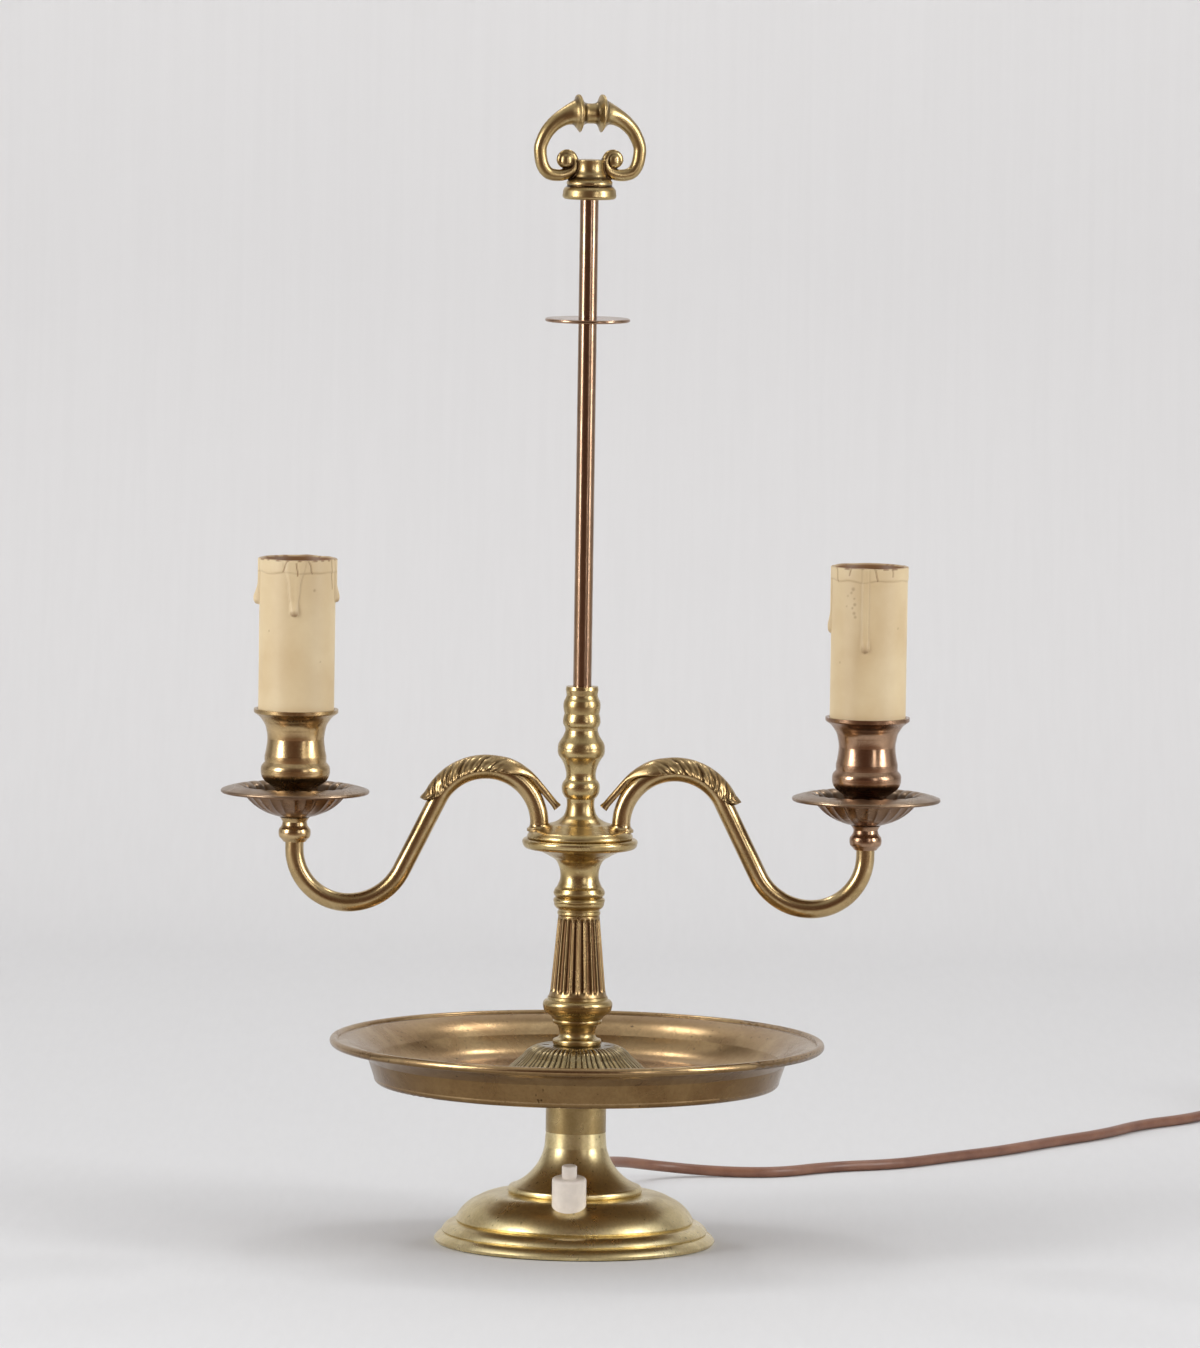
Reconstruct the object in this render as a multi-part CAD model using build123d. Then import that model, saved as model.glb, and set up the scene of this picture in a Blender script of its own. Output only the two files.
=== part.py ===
from build123d import *
import math
import os

# Bouillotte lamp: two candle arms over a gallery tray, on a round weighted base.
# Millimetres, +Z up, the lamp's axis is Z and the table is z = 0. The arms lie along X,
# the push switch is at the front (-Y) and the cord leaves at the back (+Y).
# An outline is a list of (radius, height) or (radius, height, bulge) points from bottom to top.
# The bulge is the height of the arc that arrives at that point, positive away from the metal.

# ---------------------------------------------------------------- driving dimensions
FIT = 0.05              # radial clearance of threads, bores and sliding fits
GAP = 0.3               # clearance between pieces that move past each other
SHEET = 1.2             # wall of the spun and pressed brass

# centre line: what one long threaded tube clamps together
TIE_RADIUS = 5.0
TIE_BORE = 3.5
ROD_RADIUS = 4.0

# base
FELT_THICKNESS = 1.0
SHELL_LIFT = 0.4        # the brass rim stands this far off the table, on the felt
BASE_RADIUS = 60.9
SHOULDER_RADIUS = 51.6
NECK_RADIUS = 13.0
BASE_HEIGHT = 48.7
WEIGHT_TOP = 15.0
RECESS_RADIUS = 12.5
RECESS_TOP = 11.0
NUT_THICKNESS = 4.0
NUT_FLATS = 17.0
WASHER_THICKNESS = 1.5
WASHER_RADIUS = 10.5

# tray and what stands on it
COLLAR_RADIUS = 13.1
COLLAR_HEIGHT = 20.8
TRAY_RADIUS = 107.3
TRAY_BODY_RADIUS = 90.6
TRAY_HEIGHT = 19.7
TRAY_BEAD = 1.9         # radius of the rolled edge
TRAY_FLARE = 0.092      # bulge of the rim's arcs, as a share of their length
DOME_RADIUS = 34.0
DOME_HEIGHT = 15.8
DOME_REEDS = 56
DOME_GROOVE = 0.75      # depth of a groove
COLUMN_FOOT_HEIGHT = 21.2
SHAFT_LENGTH = 35.5
SHAFT_BOTTOM_RADIUS = 12.8
SHAFT_TOP_RADIUS = 9.0
SHAFT_FLUTES = 22
FLUTE_DEPTH = 0.7
CAPITAL_HEIGHT = 8.1

# hub
HUB_HEIGHT = 25.1
HUB_RADIUS = 24.85
HUB_CAVITY_RADIUS = 20.0
HUB_NUT_FLATS = 15.0
HUB_NUT_HEIGHT = 2.6
HUB_CAVITY_DEPTH = 3.9
SPINDLE_HEIGHT = 66.1
SPINDLE_RECESS = 20.0   # depth of the rod in the top of the spindle
TIE_ENGAGEMENT = 5.5    # thread of the tie tube in the spindle

# arms
ARM_RADIUS = 4.0
ARM_BORE = 2.9
ARM_ROOT = 17.7         # distance of the arm's root from the lamp's axis
ARM_REACH = 123.6       # distance of the candle's axis from the lamp's axis
ARM_FILLET = 1.4        # width of the brazed fillet where the arm enters the skirt
ARCH_RADIUS = 23.2      # centre line of the high bend
ARCH_TOP = 205.8        # height of that centre line's top
ARM_SLOPE = 63.75       # degrees of the straight between the bends, below the horizontal
DIP_END_RADIUS = 23.3   # centre line of the low bend, outer side
DIP_BOTTOM = 147.1      # height of the low bend's centre line
LEAF_THICKNESS = 3.1
LEAF_HALF_WIDTH = 5.4
LEAF_TAIL = 14.5        # free end of the leaf towards the spindle
LEAF_TAIL_SLOPE = 50.0  # degrees below the horizontal

# candle unit
FERRULE_HEIGHT = 10.5
PAN_BOTTOM = 183.8
PAN_RADIUS = 32.1
PAN_FLOOR = 1.6         # thickness of the pan under the cup
CUP_FOOT_RADIUS = 7.0
CUP_HEIGHT = 45.6
CUP_RADIUS = 18.3
SLEEVE_RADIUS = 16.43
SLEEVE_WALL = 1.5
SLEEVE_LENGTH = 66.7
SEAT_DEPTH = 1.2        # recess in the cup's rim that holds the sleeve
CUP_BORE_FLOOR = 20.0   # height inside the cup where its nut sits
CUP_NUT_FLATS = 13.0
CUP_NUT_HEIGHT = 5.0
HOLDER_RADIUS = 13.6
HOLDER_LENGTH = 30.0
HOLDER_STEM_RADIUS = 6.5
SHELL_BORE = 6.95       # E14 lampholder
SHELL_LENGTH = 18.0
SHELL_WALL = 0.6
CONTACT_RADIUS = 2.4
CONTACT_DOME = 1.6      # radius of the centre contact's dome
CONTACT_DISC = 1.2
HOLDER_DROP = 5.0       # the lampholder's mouth below the candle's mouth

# rod, shade rest and handle
LOWER_ROD_SHOWN = 157.9 # between the spindle and the disc
UPPER_ROD_SHOWN = 51.2  # between the disc and the handle
DISC_RADIUS = 18.4
DISC_THICKNESS = 1.5
DISC_SEAT = 0.4         # recess in the disc's top that centres the upper rod
STUD_RADIUS = 2.5
STUD_LENGTH = 24.0
HANDLE_GAP = 0.2
HANDLE_THREAD_RADIUS = 3.0
HANDLE_THREAD_LENGTH = 9.0
HANDLE_BODY_HEIGHT = 17.0
RING_RADIUS = 17.0      # centre line of the handle's ring
RING_OFFSET = 5.0       # the two half rings' centres stand this far from the axis
RING_HEIGHT = 21.9      # their centres above the handle's foot
LIMB_RADIUS = 2.7
SPOOL_HEIGHT = 36.9     # axis of the crossbar above the handle's foot
SPOOL_RADIUS = 4.5
BELL_RADIUS = 8.2
VOLUTE_RADIUS = 4.6
VOLUTE_OFFSET = 10.5
VOLUTE_HEIGHT = 16.6
HANDLE_TURN = 14.0      # degrees that the handle stands turned from the arms' plane

# push switch
SWITCH_X = -2.4
SWITCH_Y = -36.8
SWITCH_Z = 21.4         # where the switch's axis meets the shoulder
SWITCH_TILT = 7.0       # degrees that it leans forward, square to the shoulder
CAP_RADIUS = 7.4
CAP_HEIGHT = 12.2
CAP_DEPTH = 8.0
CAP_BORE = 5.7
CAP_TOP_WALL = 2.0
BUTTON_RADIUS = 3.25
BUTTON_RISE = 5.4       # above the cap at rest
BUTTON_TRAVEL = 3.0
FLANGE_RADIUS = 5.0
FLANGE_THICKNESS = 1.2
SWITCH_BODY_RADIUS = 8.6
SWITCH_BODY_LENGTH = 8.4
RING_NUT_RADIUS = 9.4

# cord
CORD_RADIUS = 2.4
WIRE_RADIUS = 1.3
GLAND_HEIGHT = 14.4
GLAND_RADIUS = 4.2
GLAND_FLANGE_RADIUS = 4.9
RELIEF_LENGTH = 27.0
RELIEF_TIP_RADIUS = 3.1
COIL_INNER_RADIUS = 19.0
COIL_OUTER_RADIUS = 34.6
COIL_HEIGHT = 14.6
COIL_CENTRE = (348.0, 487.0)
PLUG_SIZE = (28.0, 35.0, 13.7)
PLUG_OFFSET = (10.0, 21.0)      # from the middle of the coil
PLUG_CORNER = 4.5
PIN_RADIUS = 2.0
PIN_LENGTH = 19.0
PIN_SPACING = 18.6

# ---------------------------------------------------------------- heights that follow from them
COLLAR_BOTTOM = BASE_HEIGHT
TRAY_BOTTOM = COLLAR_BOTTOM + COLLAR_HEIGHT
DOME_BOTTOM = TRAY_BOTTOM + SHEET
FOOT_BOTTOM = DOME_BOTTOM + DOME_HEIGHT
SHAFT_BOTTOM = FOOT_BOTTOM + COLUMN_FOOT_HEIGHT
CAPITAL_BOTTOM = SHAFT_BOTTOM + SHAFT_LENGTH
HUB_BOTTOM = CAPITAL_BOTTOM + CAPITAL_HEIGHT
SPINDLE_BOTTOM = HUB_BOTTOM + HUB_HEIGHT
SPINDLE_TOP = SPINDLE_BOTTOM + SPINDLE_HEIGHT
HUB_FLOOR = SPINDLE_BOTTOM - HUB_CAVITY_DEPTH
ROD_BOTTOM = SPINDLE_TOP - SPINDLE_RECESS
WINDOW_HEIGHT = SPINDLE_BOTTOM + 1.6
TIE_TOP = SPINDLE_BOTTOM + 11.4
NUT_BOTTOM = RECESS_TOP - WASHER_THICKNESS - NUT_THICKNESS
DISC_HEIGHT = SPINDLE_TOP + LOWER_ROD_SHOWN
ROD_TOP = DISC_HEIGHT + DISC_THICKNESS + UPPER_ROD_SHOWN
HANDLE_BOTTOM = ROD_TOP + HANDLE_GAP
CUP_BOTTOM = PAN_BOTTOM + PAN_FLOOR
CUP_TOP = CUP_BOTTOM + CUP_HEIGHT
SLEEVE_FLOOR = CUP_TOP - SEAT_DEPTH
SLEEVE_BOTTOM = SLEEVE_FLOOR + FIT
SLEEVE_TOP = SLEEVE_BOTTOM + SLEEVE_LENGTH
HOLDER_TOP = SLEEVE_TOP - HOLDER_DROP
HOLDER_BOTTOM = HOLDER_TOP - HOLDER_LENGTH


# ---------------------------------------------------------------- helpers
def bulged(start, end, bulge):
    """A line, or an arc that stands `bulge` to the right of the way from start to end."""
    if abs(bulge) < 1e-6:
        return Line(start, end)
    way = end - start
    middle = (start + end) / 2 + Vector(way.Z, 0, -way.X).normalized() * bulge
    return ThreePointArc(start, middle, end)


def outline_edges(outline):
    points = [Vector(item[0], 0, item[1]) for item in outline]
    bulges = [item[2] if len(item) == 3 else 0 for item in outline]
    return [bulged(a, b, bulge) for a, b, bulge in zip(points, points[1:], bulges[1:])]


def turned(outline, bore=0.0, lift=0.0):
    """Solid of revolution about Z, from an outline that goes up its outside."""
    edges = outline_edges(outline)
    corners = [edges[-1] @ 1, Vector(bore, 0, outline[-1][1]), Vector(bore, 0, outline[0][1]), edges[0] @ 0]
    edges += [Line(a, b) for a, b in zip(corners, corners[1:]) if (b - a).length > 1e-6]
    return Pos(0, 0, lift) * revolve(Face(Wire(edges)), Axis.Z)


def rod(radius, bottom, top, bore=0.0, x=0.0, y=0.0):
    """Upright cylinder or tube between two heights."""
    return Pos(x, y) * turned([(radius, bottom), (radius, top)], bore)


def hexagon(flats, bottom, top, bore, x=0.0):
    body = extrude(RegularPolygon(flats / 2, 6, major_radius=False), top - bottom)
    return Pos(x, 0, bottom) * body - rod(bore, bottom - 1, top + 1, x=x)


def tube_along(path, radius, bore=0.0):
    """Round bar or tube along a wire."""
    def section(size):
        return Plane(path @ 0, z_dir=path % 0) * Circle(size)
    body = sweep(section(radius), path=path)
    return body - sweep(section(bore), path=path) if bore else body


def group(shapes):
    """Several solids in one node."""
    return Compound([solid for shape in shapes for solid in shape.solids()])


def mirrored(shape):
    return mirror(shape, about=Plane.YZ)


def at_candle(shape):
    """Moves a piece from the lamp's axis to the right-hand candle's axis."""
    return Pos(ARM_REACH, 0, 0) * shape


# ---------------------------------------------------------------- base
def base_outline():
    r, s = BASE_RADIUS, SHOULDER_RADIUS
    return [(r - 0.9, SHELL_LIFT), (r, 1.8, 0.15), (r - 2.9, 4.7, 0.35), (r - 3.6, 5.0),
            (r - 3.3, 5.7, 0.1), (s + 0.6, 9.3, 0.9), (s - 0.4, 9.6), (s, 10.6, 0.15),
            (s - 9.0, 19.2, 1.2), (s - 16.6, 21.7, 0.5), (28.6, 22.0), (27.2, 25.4, 1.2),
            (NECK_RADIUS + 0.45, BASE_HEIGHT - 6.4, -2.7), (NECK_RADIUS, BASE_HEIGHT)]


def base_hollow_outline():
    r, s = BASE_RADIUS, SHOULDER_RADIUS
    return [(r - 2.1, SHELL_LIFT), (r - 1.3, 1.8, 0.1), (r - 4.6, 4.2), (s - 1.2, 8.4), (s - 1.2, 10.9),
            (s - 9.8, 18.2, 1.1), (s - 16.8, 20.5, 0.4), (26.6, 20.8), (25.9, 24.4),
            (NECK_RADIUS - 1.1, BASE_HEIGHT - 7.1, -2.8), (NECK_RADIUS - SHEET, BASE_HEIGHT - SHEET)]


def gland_cylinder(radius, start, end):
    return Pos(0, start, GLAND_HEIGHT) * Rot(-90, 0, 0) * rod(radius, 0, end - start)


def base_shell():
    shell = turned(base_outline()) - turned(base_hollow_outline())
    shell -= rod(TIE_RADIUS + FIT, BASE_HEIGHT - 5, BASE_HEIGHT + 1)
    shell -= on_switch(rod(CAP_RADIUS + FIT, -CAP_DEPTH, CAP_HEIGHT))
    return shell - gland_cylinder(GLAND_RADIUS + FIT, SHOULDER_RADIUS - 2 * SHEET - 9, BASE_RADIUS)


def base_weight():
    """Cast-iron disc under the shoulder, with a nut recess, a switch pocket and wire channels."""
    s = SHOULDER_RADIUS
    body = turned([(s - 0.5, FELT_THICKNESS), (s - 1.7, 7.6), (s - 1.7, 10.9), (s - 6.0, WEIGHT_TOP)],
                  TIE_RADIUS + GAP)
    body -= rod(RECESS_RADIUS, 0, RECESS_TOP)
    body -= rod(SWITCH_BODY_RADIUS + 2.6, 0, WEIGHT_TOP + 1, x=SWITCH_X, y=SWITCH_Y)
    channel = 3 * CORD_RADIUS
    body -= Pos(0, SWITCH_Y / 2, 3) * Box(channel, -SWITCH_Y, 10)
    return body - Pos(0, s / 2, GLAND_HEIGHT / 2) * Box(3 * GLAND_RADIUS, s + 4, WEIGHT_TOP + 9)


def base_parts():
    hex_bore = TIE_RADIUS + FIT
    return {
        "base_shell": base_shell(),
        "base_weight": base_weight(),
        "base_felt": rod(BASE_RADIUS - 2.5, 0, FELT_THICKNESS),
        "base_washer": rod(WASHER_RADIUS, RECESS_TOP - WASHER_THICKNESS, RECESS_TOP, hex_bore),
        "base_nut": hexagon(NUT_FLATS, NUT_BOTTOM, NUT_BOTTOM + NUT_THICKNESS, hex_bore),
        "tie_tube": tie_tube(),
        "feed_wires": rod(TIE_BORE - 4 * FIT, NUT_BOTTOM - 1, WINDOW_HEIGHT - 2.2),
    }


def tie_tube():
    tube = rod(TIE_RADIUS, NUT_BOTTOM - 1, TIE_TOP, TIE_BORE)
    window = Pos(0, 0, WINDOW_HEIGHT) * Rot(0, 90, 0) * Cylinder(WIRE_RADIUS + 0.6, 3 * TIE_RADIUS)
    return tube - window


# ---------------------------------------------------------------- tray and column
def tray():
    """Cast tray: an upright wall outside, one smooth dish inside, an outward rim and a rolled edge."""
    w, rim, brim = TRAY_BODY_RADIUS, TRAY_RADIUS - TRAY_BEAD, TRAY_HEIGHT - 3 * FIT

    def flare(radius, height, end):
        return rim, end, -TRAY_FLARE * math.hypot(rim - radius, end - height)

    outside = [(w - 5.4, 0), (w - 2.6, 2.4, 0.9), (w, 10.2), flare(w, 10.2, brim - SHEET)]
    inside = [(w - 17.0, SHEET), (w - 2.2, 10.8, 2.5), flare(w - 2.2, 10.8, brim)]
    sheet = turned(outside) - turned(inside)
    bead = Pos(0, 0, TRAY_HEIGHT - TRAY_BEAD) * Torus(rim, TRAY_BEAD)
    return Pos(0, 0, TRAY_BOTTOM) * (sheet + bead - rod(TIE_RADIUS + FIT, -1, 9))


def dome_outline():
    r, h = DOME_RADIUS, DOME_HEIGHT
    return [(r, 0), (r, 0.9), (r - 3.8, 5.3, -0.25), (r - 10.6, 11.3), (r - 14.5, h - 1.1, 0.4),
            (r - 19.0, h, 0.3)]


def reeded_dome():
    hollow = [(DOME_RADIUS - 4, -1), (DOME_RADIUS - 7.5, 4), (12.0, 12.0), (7.0, 12.5)]
    body = turned(dome_outline()) - turned(hollow)
    body -= rod(TIE_RADIUS + FIT, 11, DOME_HEIGHT + 1)
    foot, brow = Vector(DOME_RADIUS, 0, 0.9), Vector(DOME_RADIUS - 15.5, 0, DOME_HEIGHT - 0.4)
    way = brow - foot
    corner = Rot(0, 0, 45) * Rectangle(2 * DOME_GROOVE, 2 * DOME_GROOVE)
    profile = Plane(foot - way * 0.15, z_dir=way) * corner
    cutter = extrude(profile, way.length * 1.3)
    body -= [Rot(0, 0, 360 * i / DOME_REEDS) * cutter for i in range(DOME_REEDS)]
    return Pos(0, 0, DOME_BOTTOM) * body


def column_foot():
    outline = [(10.2, 0), (10.55, 1.3, 0.15), (10.2, 2.6, 0.15), (8.7, 3.1), (7.8, 4.8, -0.2),
               (8.3, 7.6, -0.2), (10.3, 9.5, -0.4), (10.65, 10.3, 0.1), (10.4, 11.2, 0.1), (10.9, 11.7),
               (13.0, 13.5, -0.3), (14.95, 16.9, 0.5), (14.1, 19.7, 0.5), (13.1, 20.1),
               (13.0, COLUMN_FOOT_HEIGHT)]
    return turned(outline, TIE_RADIUS + FIT, FOOT_BOTTOM)


def column_shaft():
    bottom, top, length = SHAFT_BOTTOM_RADIUS, SHAFT_TOP_RADIUS, SHAFT_LENGTH
    shaft = turned([(bottom, 0), (bottom - 0.8, 2.5, -0.1), (top, length)], TIE_RADIUS + FIT)
    size = math.pi * (bottom + top) / 2 / SHAFT_FLUTES * 0.78
    low = Vector(bottom - 1.0 + size - FLUTE_DEPTH, 0, 1.6)
    high = Vector(top + size - FLUTE_DEPTH, 0, length - 1.6)
    flute = extrude(Plane(low, z_dir=high - low) * Circle(size), (high - low).length)
    flute += Pos(*low) * Sphere(size)
    flute += Pos(*high) * Sphere(size)
    shaft -= [Rot(0, 0, 360 * i / SHAFT_FLUTES) * flute for i in range(SHAFT_FLUTES)]
    return Pos(0, 0, SHAFT_BOTTOM) * shaft


def column_capital():
    outline = [(9.0, 0), (9.3, 0.9, 0.15), (9.0, 1.8, 0.15), (9.0, 2.5), (10.9, 5.4, 0.6), (10.4, 7.6, 0.5),
               (9.9, CAPITAL_HEIGHT)]
    return turned(outline, TIE_RADIUS + FIT, CAPITAL_BOTTOM)


def column_parts():
    return {
        "collar": rod(COLLAR_RADIUS, COLLAR_BOTTOM, TRAY_BOTTOM, TIE_RADIUS + FIT),
        "tray": tray(),
        "reeded_dome": reeded_dome(),
        "column_foot": column_foot(),
        "column_shaft": column_shaft(),
        "column_capital": column_capital(),
    }


# ---------------------------------------------------------------- hub and spindle
def hub_plate():
    r, h = HUB_RADIUS, HUB_HEIGHT
    outline = [(10.4, 0), (11.1, 1.2, 0.1), (11.0, 2.2, 0.1), (10.6, 3.3), (9.3, 5.2, -0.2), (8.3, 9.6, -0.3),
               (9.3, h - 11.2, -0.2), (12.6, h - 7.9, -0.5), (r - 2.55, h - 4.3, -0.6), (r, h - 2.1, 0.7),
               (r - 1.25, h, 0.7)]
    plate = turned(outline, TIE_RADIUS + FIT, HUB_BOTTOM)
    return plate - rod(HUB_CAVITY_RADIUS, HUB_FLOOR, SPINDLE_BOTTOM + 1)


def spindle_outline():
    r = HUB_RADIUS
    return [(r - 2.55, 0), (r - 1.95, 1.1, 0.15), (r - 4.25, 3.6, 0.4), (13.6, 6.4, -0.1), (9.1, 8.3, -0.3),
               (7.1, 10.3, -0.2), (6.0, 16.0, -0.4), (6.2, 17.4), (8.25, 21.7, 0.5), (6.7, 25.8, 0.55),
               (6.5, 28.8, -0.15), (8.8, 34.8, -0.35), (10.2, 39.1, 0.55), (8.9, 43.0, 0.4),
               (7.0, 47.2, -0.25), (7.2, 48.4), (8.12, 51.5, 0.35), (7.53, 54.3, 0.1), (8.06, 57.6, 0.1),
               (7.7, 60.0, 0.1), (6.7, 62.3, -0.1), (7.1, 64.7), (6.9, SPINDLE_HEIGHT)]


def spindle():
    """Turned cover with a hollow skirt; the tie tube screws in below and the rod above."""
    hollow = [(HUB_CAVITY_RADIUS, -1), (HUB_CAVITY_RADIUS, 2.0), (13.0, 4.8), (8.2, 6.6)]
    body = turned(spindle_outline()) - turned(hollow)
    body -= rod(TIE_RADIUS + FIT, 5, 5 + 1 + TIE_ENGAGEMENT)
    body -= rod(ROD_RADIUS + FIT, SPINDLE_HEIGHT - SPINDLE_RECESS, SPINDLE_HEIGHT + 1)
    body -= [rod(ARM_RADIUS + FIT, -1, 12, x=side * ARM_ROOT) for side in (-1, 1)]
    return Pos(0, 0, SPINDLE_BOTTOM) * body


# ---------------------------------------------------------------- arms
def arm_bends():
    """Centres of the three bends, the ends of the slanting straight and the radius of the inner low bend."""
    slope = math.radians(ARM_SLOPE)
    normal = Vector(math.sin(slope), 0, math.cos(slope))
    arch = Vector(ARM_ROOT + ARCH_RADIUS, 0, ARCH_TOP - ARCH_RADIUS)
    dip_end = Vector(ARM_REACH - DIP_END_RADIUS, 0, DIP_BOTTOM + DIP_END_RADIUS)
    bottom = Vector(dip_end.X, 0, DIP_BOTTOM)
    dip_radius = ((bottom - arch).dot(normal) - ARCH_RADIUS) / (1 - normal.Z)
    dip = bottom + Vector(0, 0, dip_radius)
    return arch, dip, dip_end, arch + normal * ARCH_RADIUS, dip - normal * dip_radius, dip_radius


def arc_about(centre, radius, start, end):
    """Arc in the XZ plane between two angles, in radians from +X towards +Z."""
    points = [centre + Vector(math.cos(a), 0, math.sin(a)) * radius for a in (start, (start + end) / 2, end)]
    return ThreePointArc(*points)


def arm_path(bottom, top, lead=()):
    """The arm's centre line between two heights, with any edges that lead into it first."""
    arch, dip, dip_end, leave, arrive, dip_radius = arm_bends()
    slope, quarter = math.radians(ARM_SLOPE), math.pi / 2
    return Wire([
        *lead,
        Line((ARM_ROOT, 0, bottom), (ARM_ROOT, 0, arch.Z)),
        arc_about(arch, ARCH_RADIUS, math.pi, quarter - slope),
        Line(leave, arrive),
        arc_about(dip, dip_radius, -quarter - slope, -quarter),
        arc_about(dip_end, DIP_END_RADIUS, -quarter, 0),
        Line((ARM_REACH, 0, dip_end.Z), (ARM_REACH, 0, top)),
    ])


ARM_BOTTOM = SPINDLE_BOTTOM + 3.2
ARM_TOP = SLEEVE_FLOOR + 1.0


def arm():
    tube = tube_along(arm_path(ARM_BOTTOM, ARM_TOP), ARM_RADIUS, ARM_BORE)
    skirt = turned(spindle_outline(), 0, SPINDLE_BOTTOM)
    seat = SPINDLE_BOTTOM + 3
    wide, slim = ARM_RADIUS + ARM_FILLET, ARM_RADIUS + 0.15
    braze = turned([(wide, seat), (wide, seat + 1.2), (slim, seat + 3.6, -0.5)], slim - 0.6)
    return tube + (Pos(ARM_ROOT) * braze - skirt)


def arm_wire():
    """Twin flex from the tie tube's window through the arm to the lampholder."""
    turn = 2.0
    low = Vector(ARM_ROOT - turn, 0, WINDOW_HEIGHT + turn)
    lead = [
        Line((TIE_BORE - 1, 0, WINDOW_HEIGHT), (ARM_ROOT - turn, 0, WINDOW_HEIGHT)),
        arc_about(low, turn, -math.pi / 2, 0),
    ]
    return tube_along(arm_path(low.Z, HOLDER_BOTTOM, lead), WIRE_RADIUS)


def arm_leaf():
    """Acanthus leaf along the top of the arch, with a free tip towards the spindle."""
    arch, slope = arm_bends()[0], math.radians(ARM_SLOPE)
    quarter, tail_slope, reach = math.pi / 2, math.radians(LEAF_TAIL_SLOPE), ARCH_RADIUS + ARM_RADIUS
    tip_angle = quarter - slope - math.radians(6)
    tail_angle = quarter + tail_slope
    outer = reach + LEAF_THICKNESS

    def on(angle, radius):
        return arch + Vector(math.cos(angle), 0, math.sin(angle)) * radius

    tail_way = Vector(-math.cos(tail_slope), 0, -math.sin(tail_slope))
    tail_tip = on(tail_angle, outer - 1.4) + tail_way * LEAF_TAIL
    tail_under = tail_tip + Vector(0.9, 0, -1.1)
    side = Face(Wire([
        ThreePointArc(on(tip_angle, reach + 1.0), on(quarter, outer), on(tail_angle, outer)),
        Line(on(tail_angle, outer), tail_tip),
        Line(tail_tip, tail_under),
        Line(tail_under, on(tail_angle, ARCH_RADIUS + 0.6)),
        ThreePointArc(on(tail_angle, ARCH_RADIUS + 0.6), on(quarter, ARCH_RADIUS),
                      on(tip_angle, ARCH_RADIUS + 2)),
        Line(on(tip_angle, ARCH_RADIUS + 2), on(tip_angle, reach + 1.0)),
    ]))
    blade = extrude(side, LEAF_HALF_WIDTH, dir=(0, 1, 0), both=True)
    left, right, middle, half = tail_tip.X - 0.5, on(tip_angle, outer).X + 0.5, arch.X, LEAF_HALF_WIDTH
    plan = Face(Wire([
        Spline((left, -0.9, 0), (middle - 14, -half * 0.86, 0), (middle, -half, 0),
               (middle + 18, -half * 0.8, 0), (right, -2.4, 0)),
        Line((right, -2.4, 0), (right, 2.4, 0)),
        Spline((right, 2.4, 0), (middle + 18, half * 0.8, 0), (middle, half, 0),
               (middle - 14, half * 0.86, 0), (left, 0.9, 0)),
        Line((left, 0.9, 0), (left, -0.9, 0)),
    ]))
    blade &= extrude(plan, ARCH_TOP + 30)
    return blade - tube_along(arm_path(ARM_BOTTOM, ARM_TOP), ARM_RADIUS)


# ---------------------------------------------------------------- candle unit
def ferrule():
    outline = [(4.9, 0), (6.6, 1.9, -0.1), (7.0, 3.8, 0.1), (6.7, 5.6, 0.1), (5.55, 7.2, -0.1), (5.25, 8.6),
               (6.4, FERRULE_HEIGHT, -0.1)]
    return turned(outline, ARM_RADIUS + FIT, PAN_BOTTOM - FERRULE_HEIGHT)


def drip_pan():
    """Pressed dish with a brim that rolls over; the cup stands on its flat middle."""
    r, middle = PAN_RADIUS, CUP_FOOT_RADIUS + 0.3
    bore = ARM_RADIUS + FIT
    under = [(5.0, 0), (11.2, 1.7, 0.15), (18.8, 6.6, 0.4), (22.4, 10.6, 0.1), (25.6, 12.3, -0.3),
             (r - 0.3, 10.7, -0.2)]
    over = [(bore, PAN_FLOOR), (middle, PAN_FLOOR), (10.8, 3.1, 0.1), (17.8, 7.8, 0.4), (21.4, 11.9, 0.1),
            (25.2, 13.8, -0.35), (r - 0.2, 12.1, -0.25)]
    edge = bulged(Vector(r - 0.3, 0, 10.7), Vector(r - 0.2, 0, 12.1), 0.3)
    hole = [Line((bore, 0, PAN_FLOOR), (bore, 0, 0)), Line((bore, 0, 0), (5.0, 0, 0))]
    edges = outline_edges(under) + [edge] + outline_edges(over) + hole
    return Pos(0, 0, PAN_BOTTOM) * revolve(Face(Wire(edges)), Axis.Z)


def candle_cup():
    r, h = CUP_RADIUS, CUP_HEIGHT
    outline = [(CUP_FOOT_RADIUS, 0), (6.4, 5.0, -0.3), (7.6, 11.0, -0.2), (12.0, 13.3, 0.3),
               (15.0, 18.8, 0.9), (13.9, 21.9, 0.4), (13.35, 22.6), (13.4, 25.3, 0.05), (12.3, 32.6, -0.2),
               (12.8, h - 9.2, -0.1), (14.4, h - 5.3, -0.3), (r - 0.9, h - 2.2, -0.3), (r, h - 1.4, 0.1),
               (r, h)]
    cup = turned(outline, ARM_RADIUS + FIT)
    cup -= rod(SLEEVE_RADIUS + GAP, h - SEAT_DEPTH, h + 1)
    cup -= turned([(8.6, CUP_BORE_FLOOR), (9.4, h - 9.6), (9.4, h)])
    return Pos(0, 0, CUP_BOTTOM) * cup


def candle_sleeve():
    return rod(SLEEVE_RADIUS, SLEEVE_BOTTOM, SLEEVE_TOP, SLEEVE_RADIUS - SLEEVE_WALL)


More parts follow.
